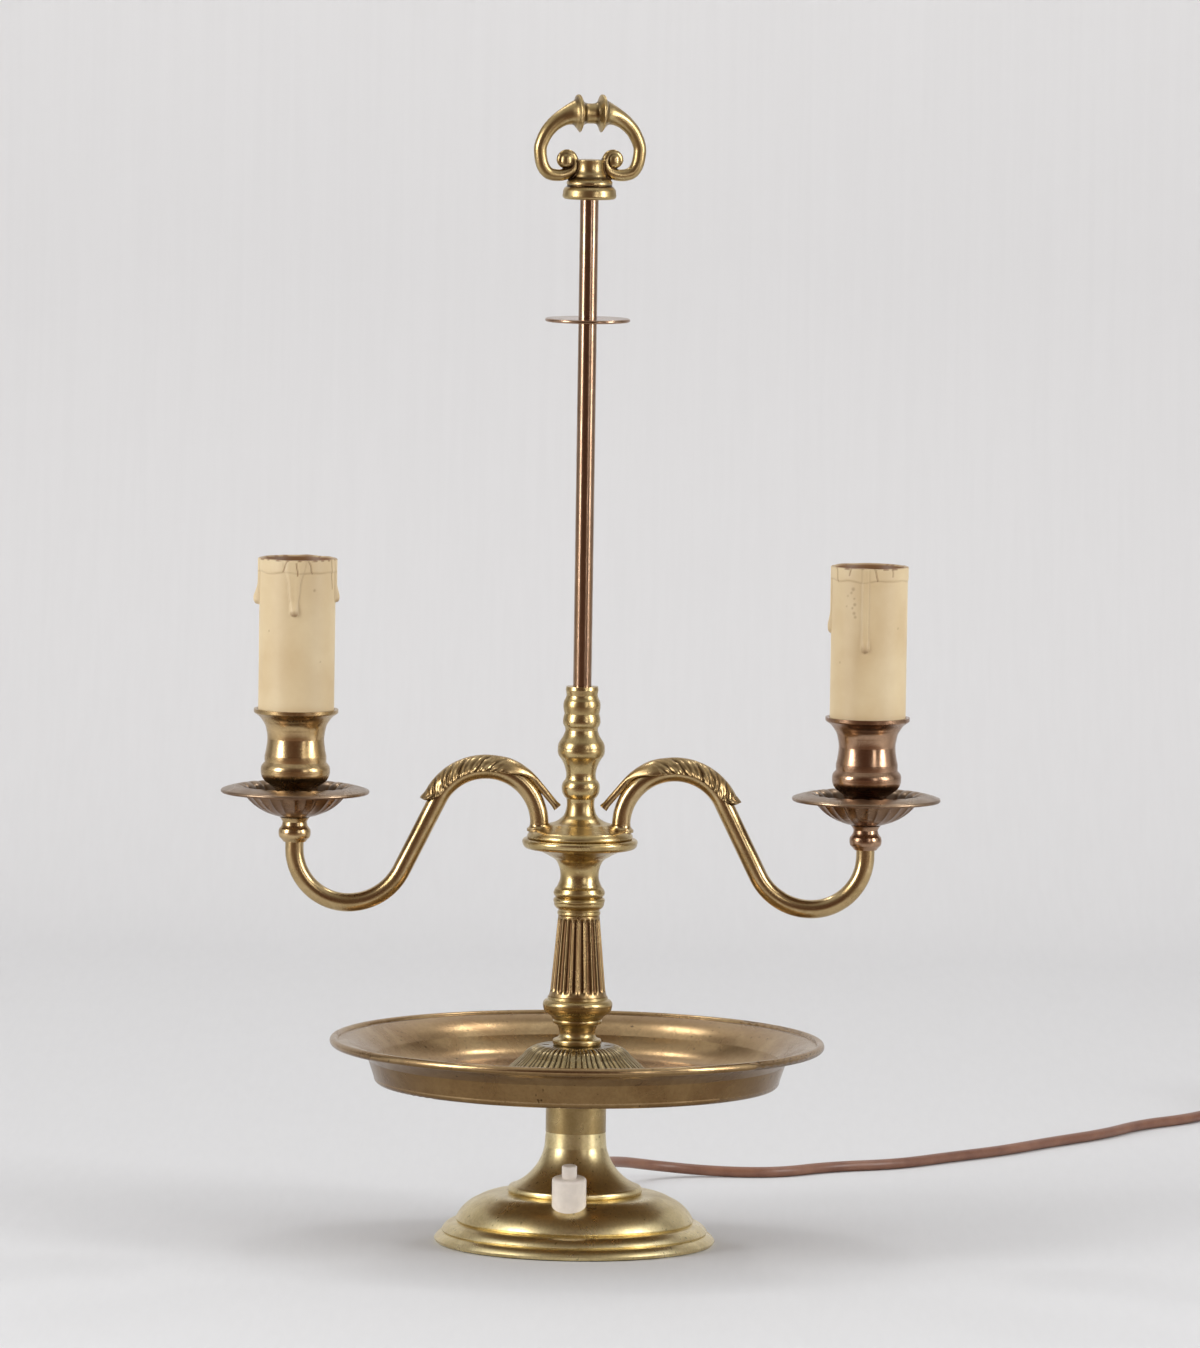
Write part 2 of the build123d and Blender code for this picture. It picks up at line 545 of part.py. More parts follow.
def holder_parts():
    """Lampholder on a stem: stem, insulating body, threaded shell, centre contact."""
    socket = HOLDER_TOP - SHELL_LENGTH
    r = HOLDER_RADIUS
    body = turned([(9.5, HOLDER_BOTTOM), (r - 1.5, HOLDER_BOTTOM + 1), (r, HOLDER_BOTTOM + 4),
                   (r, HOLDER_TOP - 1), (r - 0.8, HOLDER_TOP)])
    body -= rod(SHELL_BORE + SHELL_WALL + FIT, socket, HOLDER_TOP + 1)
    body -= rod(WIRE_RADIUS + FIT, HOLDER_BOTTOM - 1, socket + 1)
    stem = turned([(12.4, SLEEVE_FLOOR), (12.4, SLEEVE_FLOOR + 1), (HOLDER_STEM_RADIUS, SLEEVE_FLOOR + 2.5),
                   (HOLDER_STEM_RADIUS, HOLDER_BOTTOM)], ARM_RADIUS + FIT)
    contact_top = socket + CONTACT_DISC + CONTACT_DOME
    shell = rod(SHELL_BORE + SHELL_WALL, contact_top + GAP, HOLDER_TOP - SHELL_WALL, SHELL_BORE)
    contact = Pos(0, 0, socket + CONTACT_DISC) * Sphere(CONTACT_DOME)
    contact -= rod(CONTACT_RADIUS, socket - 2, socket)
    contact += rod(CONTACT_RADIUS, socket, socket + CONTACT_DISC)
    return {
        "holder_stem": stem,
        "holder_body": body,
        "holder_shell": shell,
        "holder_contact": contact,
    }


def cup_nut():
    floor = CUP_BOTTOM + CUP_BORE_FLOOR
    return hexagon(CUP_NUT_FLATS, floor, floor + CUP_NUT_HEIGHT, ARM_RADIUS + FIT)


# ---------------------------------------------------------------- rod, shade rest, handle
def rod_parts():
    stud_bottom = DISC_HEIGHT + DISC_THICKNESS / 2 - STUD_LENGTH / 2
    stud_top = stud_bottom + STUD_LENGTH
    lower = rod(ROD_RADIUS, ROD_BOTTOM, DISC_HEIGHT) - rod(STUD_RADIUS + FIT, stud_bottom, DISC_HEIGHT + 1)
    disc_top = DISC_HEIGHT + DISC_THICKNESS
    upper_bottom = disc_top - DISC_SEAT
    upper = rod(ROD_RADIUS, upper_bottom, ROD_TOP) - rod(STUD_RADIUS + FIT, upper_bottom - 1, stud_top)
    upper += rod(HANDLE_THREAD_RADIUS, ROD_TOP - 1, ROD_TOP + HANDLE_THREAD_LENGTH)
    rim = DISC_THICKNESS / 2
    edge = [(DISC_RADIUS - rim, 0), (DISC_RADIUS - rim, DISC_THICKNESS, rim)]
    disc = turned(edge, STUD_RADIUS + FIT, DISC_HEIGHT) - rod(ROD_RADIUS + FIT, upper_bottom, disc_top + 1)
    return {
        "lower_rod": lower,
        "rod_stud": rod(STUD_RADIUS, stud_bottom, stud_top),
        "shade_rest": disc,
        "upper_rod": upper,
    }


def handle_limb():
    """Right half of the ring: from the crossbar, out and round, and in along the bottom."""
    centre = Vector(RING_OFFSET, 0, RING_HEIGHT)
    corner_radius, start = 5.6, math.radians(90)
    leave = math.radians(-30)
    corner = centre + Vector(math.cos(leave), 0, math.sin(leave)) * (RING_RADIUS - corner_radius)
    path = Wire([
        arc_about(centre, RING_RADIUS, start, leave),
        arc_about(corner, corner_radius, leave, -math.pi / 2),
        Line(corner + Vector(0, 0, -corner_radius), Vector(6.0, 0, corner.Z - corner_radius)),
    ])
    return tube_along(path, LIMB_RADIUS)


def handle_bell():
    """Trumpet-shaped end of a limb, turned about the crossbar's axis (here Z, towards the limb)."""
    return turned([(SPOOL_RADIUS, 0), (SPOOL_RADIUS + 0.5, 2.6, -0.1), (BELL_RADIUS, 4.7, -0.3),
                   (BELL_RADIUS - 0.3, 5.5, 0.1), (5.4, 7.6, -0.3), (4.4, 9.6, -0.1), (2.6, 11.4, 0.2)])


def handle():
    foot = turned([(10.6, 0), (11.4, 2.4, 0.5), (10.3, 5.4, 0.5), (9.6, 6.6), (9.9, 7.4, 0.1),
                   (9.6, 8.2, 0.1), (7.6, 10.6, -0.4), (6.1, HANDLE_BODY_HEIGHT, -0.5)])
    bell = Pos(0, 0, SPOOL_HEIGHT) * Rot(0, 90, 0) * handle_bell()
    volute = Pos(VOLUTE_OFFSET, 0, VOLUTE_HEIGHT) * Sphere(VOLUTE_RADIUS)
    half = bell + handle_limb() + volute
    body = foot + half + mirrored(half)
    body -= rod(HANDLE_THREAD_RADIUS + FIT, -1, HANDLE_THREAD_LENGTH + 1)
    return Pos(0, 0, HANDLE_BOTTOM) * Rot(0, 0, HANDLE_TURN) * body


# ---------------------------------------------------------------- switch
def on_switch(shape):
    """Places a piece that is drawn about Z with the shoulder's surface at 0."""
    return Pos(SWITCH_X, SWITCH_Y, SWITCH_Z) * Rot(SWITCH_TILT, 0, 0) * shape


def switch_parts():
    under_top = CAP_HEIGHT - CAP_TOP_WALL
    r = CAP_RADIUS
    cap = turned([(r, -CAP_DEPTH), (r, CAP_HEIGHT - 1.4), (r - 1.4, CAP_HEIGHT, 0.4)])
    cap -= rod(CAP_BORE, -CAP_DEPTH - 1, under_top)
    cap -= rod(BUTTON_RADIUS + 2 * FIT, under_top - 1, CAP_HEIGHT + 1)
    flange_top = under_top - 0.1
    flange_bottom = flange_top - FLANGE_THICKNESS
    button_top = CAP_HEIGHT + BUTTON_RISE
    button = turned([(BUTTON_RADIUS, flange_bottom), (BUTTON_RADIUS, button_top - 0.8),
                     (BUTTON_RADIUS - 0.8, button_top, 0.25)])
    button += rod(FLANGE_RADIUS, flange_bottom, flange_top)
    neck_top = flange_bottom - BUTTON_TRAVEL - 2.5
    body = rod(SWITCH_BODY_RADIUS, -CAP_DEPTH - SWITCH_BODY_LENGTH, -CAP_DEPTH)
    body += rod(CAP_BORE - FIT, -CAP_DEPTH - 1, neck_top)
    screws = [rod(1.5, -CAP_DEPTH - SWITCH_BODY_LENGTH - 1.2, -CAP_DEPTH - SWITCH_BODY_LENGTH, x=side * 4.5)
              for side in (-1, 1)]
    spring = rod(4.4, neck_top, flange_bottom, 3.4)
    ring_nut = rod(RING_NUT_RADIUS, -CAP_DEPTH + 0.4, -CAP_DEPTH + 2.4, CAP_RADIUS + FIT)
    return {
        "switch_cap": on_switch(cap),
        "switch_button": on_switch(button),
        "switch_body": on_switch(body),
        "switch_spring": on_switch(spring),
        "switch_ring_nut": on_switch(ring_nut),
        "switch_terminals": on_switch(group(screws)),
    }


# ---------------------------------------------------------------- cord
RELIEF_TIP = SHOULDER_RADIUS - 1.6 + RELIEF_LENGTH      # y where the strain relief ends
FLOOR = CORD_RADIUS + 0.05                              # height of the cord's middle on the table

CORD_ROUTE = [
    (0.0, RELIEF_TIP, GLAND_HEIGHT), (0.0, 108.0, GLAND_HEIGHT), (3.0, 138.0, 14.2), (10.0, 168.0, 13.0),
    (20.0, 196.0, 10.0), (36.0, 217.0, 5.4), (62.0, 223.0, FLOOR), (91.0, 221.0, FLOOR),
    (115.0, 245.0, FLOOR), (146.0, 257.0, FLOOR), (170.0, 284.0, FLOOR), (196.0, 310.0, FLOOR),
    (219.0, 343.0, FLOOR), (246.0, 376.0, FLOOR), (264.0, 412.0, FLOOR), (289.0, 437.0, FLOOR),
    (304.0, 468.0, FLOOR), (314.5, 482.0, FLOOR),
]


def fillet_radii(route):
    """The largest radius that each corner allows: 0.45 of its shorter run over tan(half the turn)."""
    points = [Vector(*point) for point in route]
    radii = []
    for before, here, after in zip(points, points[1:], points[2:]):
        arriving, leaving = here - before, after - here
        turn = math.radians(arriving.get_angle(leaving))
        radii.append(0.45 * min(arriving.length, leaving.length) / math.tan(turn / 2))
    return radii


def cord_tube():
    radii = fillet_radii(CORD_ROUTE)
    path = FilletPolyline(*CORD_ROUTE, radius=radii)
    tube = tube_along(path, CORD_RADIUS)
    print("cord radii", [round(radius, 1) for radius in radii])
    expected = math.pi * CORD_RADIUS ** 2 * path.length
    print("cord length", round(path.length, 1), "volume ratio", round(tube.volume / expected, 5))
    return tube


def coil():
    x, y = COIL_CENTRE
    return rod(COIL_OUTER_RADIUS, 0.05, COIL_HEIGHT, COIL_INNER_RADIUS, x, y)


def plug_parts():
    """Flat two-pin plug that lies on the coil."""
    length, width, height = PLUG_SIZE
    x, y = COIL_CENTRE[0] + PLUG_OFFSET[0], COIL_CENTRE[1] + PLUG_OFFSET[1]
    middle = COIL_HEIGHT + height / 2
    body = Pos(x, y, middle) * Box(length, width, height)
    body = fillet(body.edges().filter_by(Axis.X), PLUG_CORNER)
    pin = Rot(0, 90, 0) * rod(PIN_RADIUS, length / 2, length / 2 + PIN_LENGTH)
    pins = [Pos(x, y + side * PIN_SPACING / 2, middle) * pin for side in (-1, 1)]
    return {"plug_body": body, "plug_pins": group(pins)}


def gland_parts():
    start = SHOULDER_RADIUS - 9.6
    seat = SHOULDER_RADIUS - 1.6
    sleeve = gland_cylinder(GLAND_RADIUS, start, seat + 2)
    flange = gland_cylinder(GLAND_FLANGE_RADIUS, seat + 1.6, seat + 3.4)
    taper = turned([(GLAND_FLANGE_RADIUS - 1.2, 0), (RELIEF_TIP_RADIUS, RELIEF_TIP - seat - 3.4)])
    relief = Pos(0, seat + 3.4, GLAND_HEIGHT) * Rot(-90, 0, 0) * taper
    body = (flange + relief) - turned(base_outline()) + sleeve
    body -= gland_cylinder(CORD_RADIUS + FIT, start - 1, RELIEF_TIP + 1)
    return {
        "cord_gland": body,
        "inner_cord": gland_cylinder(CORD_RADIUS, RECESS_RADIUS, RELIEF_TIP),
    }


# ---------------------------------------------------------------- everything
def lamp():
    parts = {}
    parts.update(base_parts())
    parts.update(column_parts())
    parts.update(rod_parts())
    parts.update(switch_parts())
    parts.update(gland_parts())
    parts["hub_plate"] = hub_plate()
    parts["hub_nut"] = hexagon(HUB_NUT_FLATS, HUB_FLOOR, HUB_FLOOR + HUB_NUT_HEIGHT, TIE_RADIUS + FIT)
    parts["spindle"] = spindle()
    parts["handle"] = handle()
    pairs = {"arm": arm(), "arm_leaf": arm_leaf(), "arm_wire": arm_wire()}
    unit = {"ferrule": ferrule(), "drip_pan": drip_pan(), "candle_cup": candle_cup(), "cup_nut": cup_nut(),
            "candle_sleeve": candle_sleeve()}
    unit.update(holder_parts())
    pairs.update({name: at_candle(shape) for name, shape in unit.items()})
    for name, shape in pairs.items():
        parts[name + "_right"] = shape
        parts[name + "_left"] = mirrored(shape)
    parts["cord"] = cord_tube()
    parts["cord_coil"] = coil()
    parts.update(plug_parts())
    return parts


os.makedirs("parts", exist_ok=True)
for name, shape in lamp().items():
    export_step(shape, f"parts/{name}.step")
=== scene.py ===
"""How the bouillotte lamp looks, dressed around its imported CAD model. Metres, +Z up, candles along X."""
import math
import random

import bmesh
import bpy
from mathutils import Matrix, Vector, noise


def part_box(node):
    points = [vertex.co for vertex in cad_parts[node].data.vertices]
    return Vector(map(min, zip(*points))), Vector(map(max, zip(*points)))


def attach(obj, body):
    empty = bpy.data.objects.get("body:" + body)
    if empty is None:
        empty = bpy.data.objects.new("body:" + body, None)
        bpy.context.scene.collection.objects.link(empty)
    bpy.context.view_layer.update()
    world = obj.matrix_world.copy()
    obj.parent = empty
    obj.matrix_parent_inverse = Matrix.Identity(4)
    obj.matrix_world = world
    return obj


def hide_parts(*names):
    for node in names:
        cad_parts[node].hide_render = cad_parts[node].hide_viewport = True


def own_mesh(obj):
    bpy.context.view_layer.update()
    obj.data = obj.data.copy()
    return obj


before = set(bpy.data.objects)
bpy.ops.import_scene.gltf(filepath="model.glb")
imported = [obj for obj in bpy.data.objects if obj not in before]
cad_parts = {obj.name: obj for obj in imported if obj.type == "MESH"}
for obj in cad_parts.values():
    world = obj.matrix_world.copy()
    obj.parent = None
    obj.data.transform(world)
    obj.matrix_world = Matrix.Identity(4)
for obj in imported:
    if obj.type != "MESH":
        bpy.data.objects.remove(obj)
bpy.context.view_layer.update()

MM = 0.001                      # shapes of ornaments, coil and tie are in millimetres, all else in metres
SIDES = {"left": -1, "right": 1}
BASE_COLLECTION = bpy.context.scene.collection


# ---------------------------------------------------------------- camera
IMAGE_HEIGHT = 1348             # pixels, the long side of the picture
FOCAL_LENGTH = 11496            # pixels
SENSOR = 36.0                   # mm
CAMERA_PLACE = (0.0076, -4.951, 0.689)
CAMERA_PITCH = math.radians(5.09)
CAMERA_ROLL = math.radians(0.85)


def add_camera():
    data = bpy.data.cameras.new("camera")
    data.sensor_width = SENSOR
    data.lens = SENSOR * FOCAL_LENGTH / IMAGE_HEIGHT
    data.clip_end = 40
    camera = bpy.data.objects.new("camera", data)
    turn = Matrix.Rotation(math.pi / 2 - CAMERA_PITCH, 4, "X") @ Matrix.Rotation(CAMERA_ROLL, 4, "Z")
    camera.matrix_world = Matrix.Translation(CAMERA_PLACE) @ turn
    BASE_COLLECTION.objects.link(camera)
    bpy.context.scene.camera = camera


# ---------------------------------------------------------------- shader helpers
WHITE, BLACK = (1, 1, 1), (0, 0, 0)


def grey(level):
    return (level, level, level)


def new_material(name):
    material = bpy.data.materials.new(name)
    material.use_nodes = True
    tree = material.node_tree
    return material, tree.nodes, tree.links, tree.nodes["Principled BSDF"]


def separated(nodes, links, coordinates):
    """X, Y and Z outputs of one kind of texture coordinates."""
    place = nodes.new("ShaderNodeTexCoord")
    parts = nodes.new("ShaderNodeSeparateXYZ")
    links.new(place.outputs[coordinates], parts.inputs["Vector"])
    return parts.outputs


def object_noise(nodes, links, scale, detail, roughness, stretch=(1, 1, 1), distortion=0.0):
    """Noise in the piece's own coordinates; scale is in waves per metre."""
    place = nodes.new("ShaderNodeTexCoord")
    mapping = nodes.new("ShaderNodeMapping")
    mapping.inputs["Scale"].default_value = stretch
    links.new(place.outputs["Object"], mapping.inputs["Vector"])
    texture = nodes.new("ShaderNodeTexNoise")
    texture.inputs["Scale"].default_value = scale
    texture.inputs["Detail"].default_value = detail
    texture.inputs["Roughness"].default_value = roughness
    texture.inputs["Distortion"].default_value = distortion
    links.new(mapping.outputs["Vector"], texture.inputs["Vector"])
    return texture.outputs["Fac"]


def ramp(nodes, links, value, stops):
    """Colour ramp over a value; a stop is (position, colour)."""
    node = nodes.new("ShaderNodeValToRGB")
    elements = node.color_ramp.elements
    while len(elements) < len(stops):
        elements.new(0.5)
    for element, (position, colour) in zip(elements, stops):
        element.position = position
        element.color = (*colour, 1)
    links.new(value, node.inputs["Fac"])
    return node.outputs["Color"]


def ranged(nodes, links, value, low, high, from_low=0.0, from_high=1.0):
    node = nodes.new("ShaderNodeMapRange")
    node.inputs["From Min"].default_value = from_low
    node.inputs["From Max"].default_value = from_high
    node.inputs["To Min"].default_value = low
    node.inputs["To Max"].default_value = high
    links.new(value, node.inputs["Value"])
    return node.outputs["Result"]


def mixed(nodes, links, factor, first, second, kind="MIX"):
    """Colour mix; factor, first and second are sockets or values."""
    node = nodes.new("ShaderNodeMix")
    node.data_type = "RGBA"
    node.blend_type = kind
    for socket, value in (("Factor", factor), ("A", first), ("B", second)):
        target = [s for s in node.inputs if s.name == socket and (socket == "Factor" or s.type == "RGBA")][0]
        if isinstance(value, bpy.types.NodeSocket):
            links.new(value, target)
        else:
            target.default_value = value if socket == "Factor" else (*value, 1)
    return [s for s in node.outputs if s.type == "RGBA"][0]


def multiplied(nodes, links, colour, tint):
    return mixed(nodes, links, 1.0, colour, tint, "MULTIPLY")


def bumped(nodes, links, shader, height, distance):
    node = nodes.new("ShaderNodeBump")
    node.inputs["Distance"].default_value = distance
    node.inputs["Strength"].default_value = 1.0
    links.new(height, node.inputs["Height"])
    links.new(node.outputs["Normal"], shader.inputs["Normal"])


def attribute(nodes, name):
    node = nodes.new("ShaderNodeAttribute")
    node.attribute_name = name
    return node.outputs["Fac"]


# ---------------------------------------------------------------- materials
FINE_WAVES = 14                 # waves of the fine wear for each wave of the tarnish
SPECK_WAVES = 420               # per metre
WEAR_DEPTH = 0.00002
DOWN_SLOPE = -0.3               # Z of a normal at which a face counts as facing down and gets full painted shade


def metal(name, tone, dark, roughness, blotch=90, cavity=None, speck=0.0, lines=None, under=None):
    """Aged brass or bronze: a tone that drifts, darker tarnish in patches and fine wear.

    roughness is (polished, tarnished), blotch the tarnish's waves per metre and speck how dark its specks
    are. The colour for grooves is mixed in by a vertex attribute that marks patina in grooves and hollows,
    and on some pieces painted shade and a painted dark reflection. lines is the waves per metre of turned or
    drawn lines, and under is a tint of painted shade for what faces down.
    """
    material, nodes, links, shader = new_material(name)
    patches = object_noise(nodes, links, blotch, 6, 0.62, distortion=0.6)
    fine = object_noise(nodes, links, blotch * FINE_WAVES, 3, 0.6)
    between = [0.5 * (a + b) for a, b in zip(tone, dark)]
    colour = ramp(nodes, links, patches, [(0.28, dark), (0.5, between), (0.66, tone)])
    colour = multiplied(nodes, links, colour, ramp(nodes, links, fine, [(0.3, grey(0.86)), (0.6, WHITE)]))
    if speck:
        spots = object_noise(nodes, links, SPECK_WAVES, 2, 0.5)
        mask = ramp(nodes, links, spots, [(0.0, WHITE), (0.27, WHITE), (0.31, BLACK)])
        amount = ranged(nodes, links, mask, 0, speck)
        colour = mixed(nodes, links, amount, colour, [0.3 * c for c in dark])
    # Patina in grooves and hollows; on some pieces the same attribute also paints shade and a dark
    # reflection.
    if cavity:
        colour = mixed(nodes, links, attribute(nodes, "cavity"), colour, cavity)
    # Painted shade: faces that look down are darkened by the under tint.
    if under:
        upwards = separated(nodes, links, "Normal")["Z"]
        painted_shade_below = ranged(nodes, links, upwards, 1, 0, DOWN_SLOPE, 0.0)
        colour = mixed(nodes, links, painted_shade_below, colour, under, "MULTIPLY")
    links.new(colour, shader.inputs["Base Color"])
    shader.inputs["Metallic"].default_value = 1.0
    rough = ranged(nodes, links, patches, roughness[1], roughness[0], 0.3, 0.7)
    links.new(rough, shader.inputs["Roughness"])
    height = object_noise(nodes, links, lines, 2, 0.5, stretch=(1, 1, 12)) if lines else fine
    bumped(nodes, links, shader, height, WEAR_DEPTH)
    return material


def plain_part(name, colour, roughness, metallic=0.0, drift=0.8, scale=160, depth=0.00003):
    """Small part in plastic, felt, iron or steel: tone drift and a fine grain."""
    material, nodes, links, shader = new_material(name)
    grain = object_noise(nodes, links, scale, 5, 0.6)
    shade = ramp(nodes, links, grain, [(0.3, [c * drift for c in colour]), (0.65, colour)])
    links.new(shade, shader.inputs["Base Color"])
    shader.inputs["Metallic"].default_value = metallic
    rough = ranged(nodes, links, grain, roughness + 0.06, roughness - 0.05, 0.3, 0.7)
    links.new(rough, shader.inputs["Roughness"])
    bumped(nodes, links, shader, object_noise(nodes, links, scale * 9, 2, 0.5), depth)
    return material


def ivory():
    """Cardboard candle sleeve in ivory lacquer, stained where the drips end and burnt inside."""
    material, nodes, links, shader = new_material("ivory_sleeve")
    clouds = object_noise(nodes, links, 40, 4, 0.5)
    colour = ramp(nodes, links, clouds, [(0.3, (0.62, 0.47, 0.265)), (0.7, (0.73, 0.6, 0.375))])
    colour = mixed(nodes, links, attribute(nodes, "stain"), colour, (0.2, 0.085, 0.025))
    links.new(colour, shader.inputs["Base Color"])
    shader.inputs["Roughness"].default_value = 0.48
    bumped(nodes, links, shader, object_noise(nodes, links, 900, 3, 0.5), 0.00003)
    return material


def flex():
    """Old brown cord with a dull shine and dusty patches."""
    material, nodes, links, shader = new_material("flex_brown")
    dust = object_noise(nodes, links, 70, 5, 0.6)
    colour = ramp(nodes, links, dust, [(0.3, (0.15, 0.06, 0.035)), (0.7, (0.26, 0.125, 0.075))])
    links.new(colour, shader.inputs["Base Color"])
    links.new(ranged(nodes, links, dust, 0.3, 0.46, 0.3, 0.7), shader.inputs["Roughness"])
    bumped(nodes, links, shader, object_noise(nodes, links, 500, 3, 0.5), 0.00005)
    return material


MATERIALS = {
    "brass": metal("polished_brass", (0.62, 0.48, 0.24), (0.42, 0.30, 0.125), (0.22, 0.34),
                   cavity=(0.10, 0.055, 0.02)),
    "shaft": metal("shaft_brass", (0.54, 0.39, 0.19), (0.34, 0.22, 0.1), (0.22, 0.34),
                   cavity=(0.07, 0.03, 0.013)),
    "satin": metal("satin_brass", (0.84, 0.71, 0.41), (0.62, 0.49, 0.24), (0.25, 0.38), blotch=60,
                   speck=0.5),
    "collar": metal("collar_brass", (0.46, 0.34, 0.16), (0.32, 0.22, 0.09), (0.24, 0.36), lines=300),
    "arm": metal("arm_brass", (0.6, 0.45, 0.24), (0.42, 0.29, 0.13), (0.19, 0.3)),
    "leaf": metal("leaf_brass", (0.58, 0.43, 0.22), (0.36, 0.24, 0.11), (0.2, 0.34), blotch=160,
                  cavity=(0.09, 0.05, 0.02)),
    "dome": metal("dome_brass", (0.62, 0.5, 0.28), (0.4, 0.3, 0.14), (0.2, 0.34), blotch=140,
                  cavity=(0.05, 0.03, 0.012)),
    # under gives the tray and the pans painted shade on faces that look down.
    "tray": metal("tray_bronze", (0.46, 0.32, 0.165), (0.32, 0.2, 0.095), (0.19, 0.31), blotch=45,
                  speck=0.8, under=(0.58, 0.52, 0.44)),
    "cup": metal("cup_brass", (0.62, 0.45, 0.24), (0.4, 0.27, 0.12), (0.2, 0.32),
                 cavity=(0.05, 0.026, 0.01)),
    "cup_dark": metal("cup_dark_brass", (0.47, 0.3, 0.19), (0.3, 0.18, 0.11), (0.18, 0.3)),
    "pan": metal("pan_brass", (0.4, 0.29, 0.19), (0.26, 0.18, 0.12), (0.22, 0.36), blotch=110,
                 cavity=(0.05, 0.03, 0.018), under=(0.72, 0.6, 0.52)),
    "handle": metal("handle_brass", (0.58, 0.44, 0.22), (0.37, 0.26, 0.11), (0.25, 0.38), blotch=120,
                    cavity=(0.06, 0.033, 0.014)),
    "rod": metal("rod_brass", (0.46, 0.31, 0.21), (0.32, 0.2, 0.125), (0.15, 0.24), lines=500),
    "sleeve": ivory(),
    "white": plain_part("switch_plastic", (0.86, 0.79, 0.71), 0.42, drift=0.86),
    "black": plain_part("black_insulator", (0.02, 0.018, 0.016), 0.45),
    "steel": plain_part("zinc_steel", (0.5, 0.5, 0.48), 0.32, 1.0),
    "iron": plain_part("cast_iron", (0.09, 0.085, 0.08), 0.62, 0.6),
    "felt": plain_part("green_felt", (0.03, 0.06, 0.035), 0.93, scale=900, depth=0.0004),
    "flex": flex(),
}


def both(name):
    return [name + "_" + side for side in SIDES]


# Which CAD nodes wear which material.
NODE_MATERIALS = {
    "satin": ["base_shell"],
    "collar": ["collar"],
    "brass": ["column_foot", "column_capital", "hub_plate", "spindle", "reeded_dome"],
    "shaft": ["column_shaft"],
    "arm": both("arm"),
    "leaf": both("arm_leaf"),
    "tray": ["tray"],
    "cup": both("drip_pan") + ["ferrule_left", "candle_cup_left"],
    "cup_dark": ["ferrule_right", "candle_cup_right"],
    "handle": ["handle"],
    "rod": ["lower_rod", "upper_rod", "shade_rest", "rod_stud"],
    "sleeve": both("candle_sleeve"),
    "white": ["switch_cap", "switch_button"],
    "black": both("holder_body") + ["switch_body"],
    "steel": both("cup_nut") + both("holder_stem") + both("holder_shell") + both("holder_contact") + [
        "tie_tube", "base_washer", "base_nut", "hub_nut", "switch_spring", "switch_ring_nut",
        "switch_terminals", "plug_pins"],
    "iron": ["base_weight"],
    "felt": ["base_felt"],
    "flex": both("arm_wire") + ["feed_wires", "inner_cord", "cord_gland", "cord", "cord_coil", "plug_body"],
}


def dress_nodes():
    for key, names in NODE_MATERIALS.items():
        for name in names:
            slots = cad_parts[name].data.materials
            slots.clear()
            slots.append(MATERIALS[key])


# ---------------------------------------------------------------- cord
CORD_DIAMETER = 0.0048
FLOOR = 0.00245                 # height of the cord's middle on the table
CORD_ROUTE = [
    (0.0, 0.077, 0.0144), (0.0, 0.108, 0.0144), (0.003, 0.138, 0.0142), (0.010, 0.168, 0.0130),
    (0.020, 0.196, 0.0100), (0.036, 0.217, 0.0054), (0.062, 0.223, FLOOR), (0.091, 0.221, FLOOR),
    (0.115, 0.245, FLOOR), (0.146, 0.257, FLOOR), (0.170, 0.284, FLOOR), (0.196, 0.310, FLOOR),
    (0.219, 0.343, FLOOR), (0.246, 0.376, FLOOR), (0.264, 0.412, FLOOR), (0.289, 0.437, FLOOR),
    (0.304, 0.468, FLOOR),
]
COIL_CENTRE = Vector((0.348, 0.487, 0))
# Radius in mm and layer of each turn.
COIL_TURNS = ((31.9, 0), (26.8, 0), (21.7, 0), (21.7, 1), (26.8, 1), (31.9, 1), (26.8, 2), (21.7, 2))
COIL_STEP = 4.9                 # mm from one layer of turns to the next
COIL_LENGTH = 7.22              # turns; the last one ends at the plug's back, level with its middle
CHANGE_START = 0.75             # share of a turn after which it moves over to the next radius and layer
RISE_START = 6.85               # turns, where the end starts to rise to the plug
POINTS_PER_TURN = 14
PLUG_HEIGHT = 21.45             # mm, middle of the plug
COIL_SECTION = (18.7, 34.8, 0.35, 15.0)     # mm, inner and outer radius, underside and top of the turns
TIE_ANGLE = math.radians(-60)
TIE_CORNER, TIE_THICK, TIE_HALF = 3.0, 0.9, 2.2     # mm, inner corners, thickness, half its width
TIE_CORNER_STEPS = 6
TIE_LIFT = 0.1                  # mm from the table to the tie's underside


def coil_points():
    """The cord's turns, clockwise from the coil's left; the end rises into the plug."""
    points = []
    count = round(COIL_LENGTH * POINTS_PER_TURN)
    for i in range(count + 1):
        turn = COIL_LENGTH * i / count
        index = min(int(turn), len(COIL_TURNS) - 1)
        radius, layer = COIL_TURNS[index]
        following = COIL_TURNS[min(index + 1, len(COIL_TURNS) - 1)]
        share = min(1.0, max(0.0, (turn - index - CHANGE_START) / (1 - CHANGE_START)))
        radius += (following[0] - radius) * share
        layer += (following[1] - layer) * share
        angle = math.pi - 2 * math.pi * turn
        height = FLOOR / MM + COIL_STEP * layer
        height += (PLUG_HEIGHT - height) * smooth_step(turn, RISE_START, COIL_LENGTH)
        points.append(COIL_CENTRE + Vector((math.cos(angle) * radius, math.sin(angle) * radius, height)) * MM)
    return points


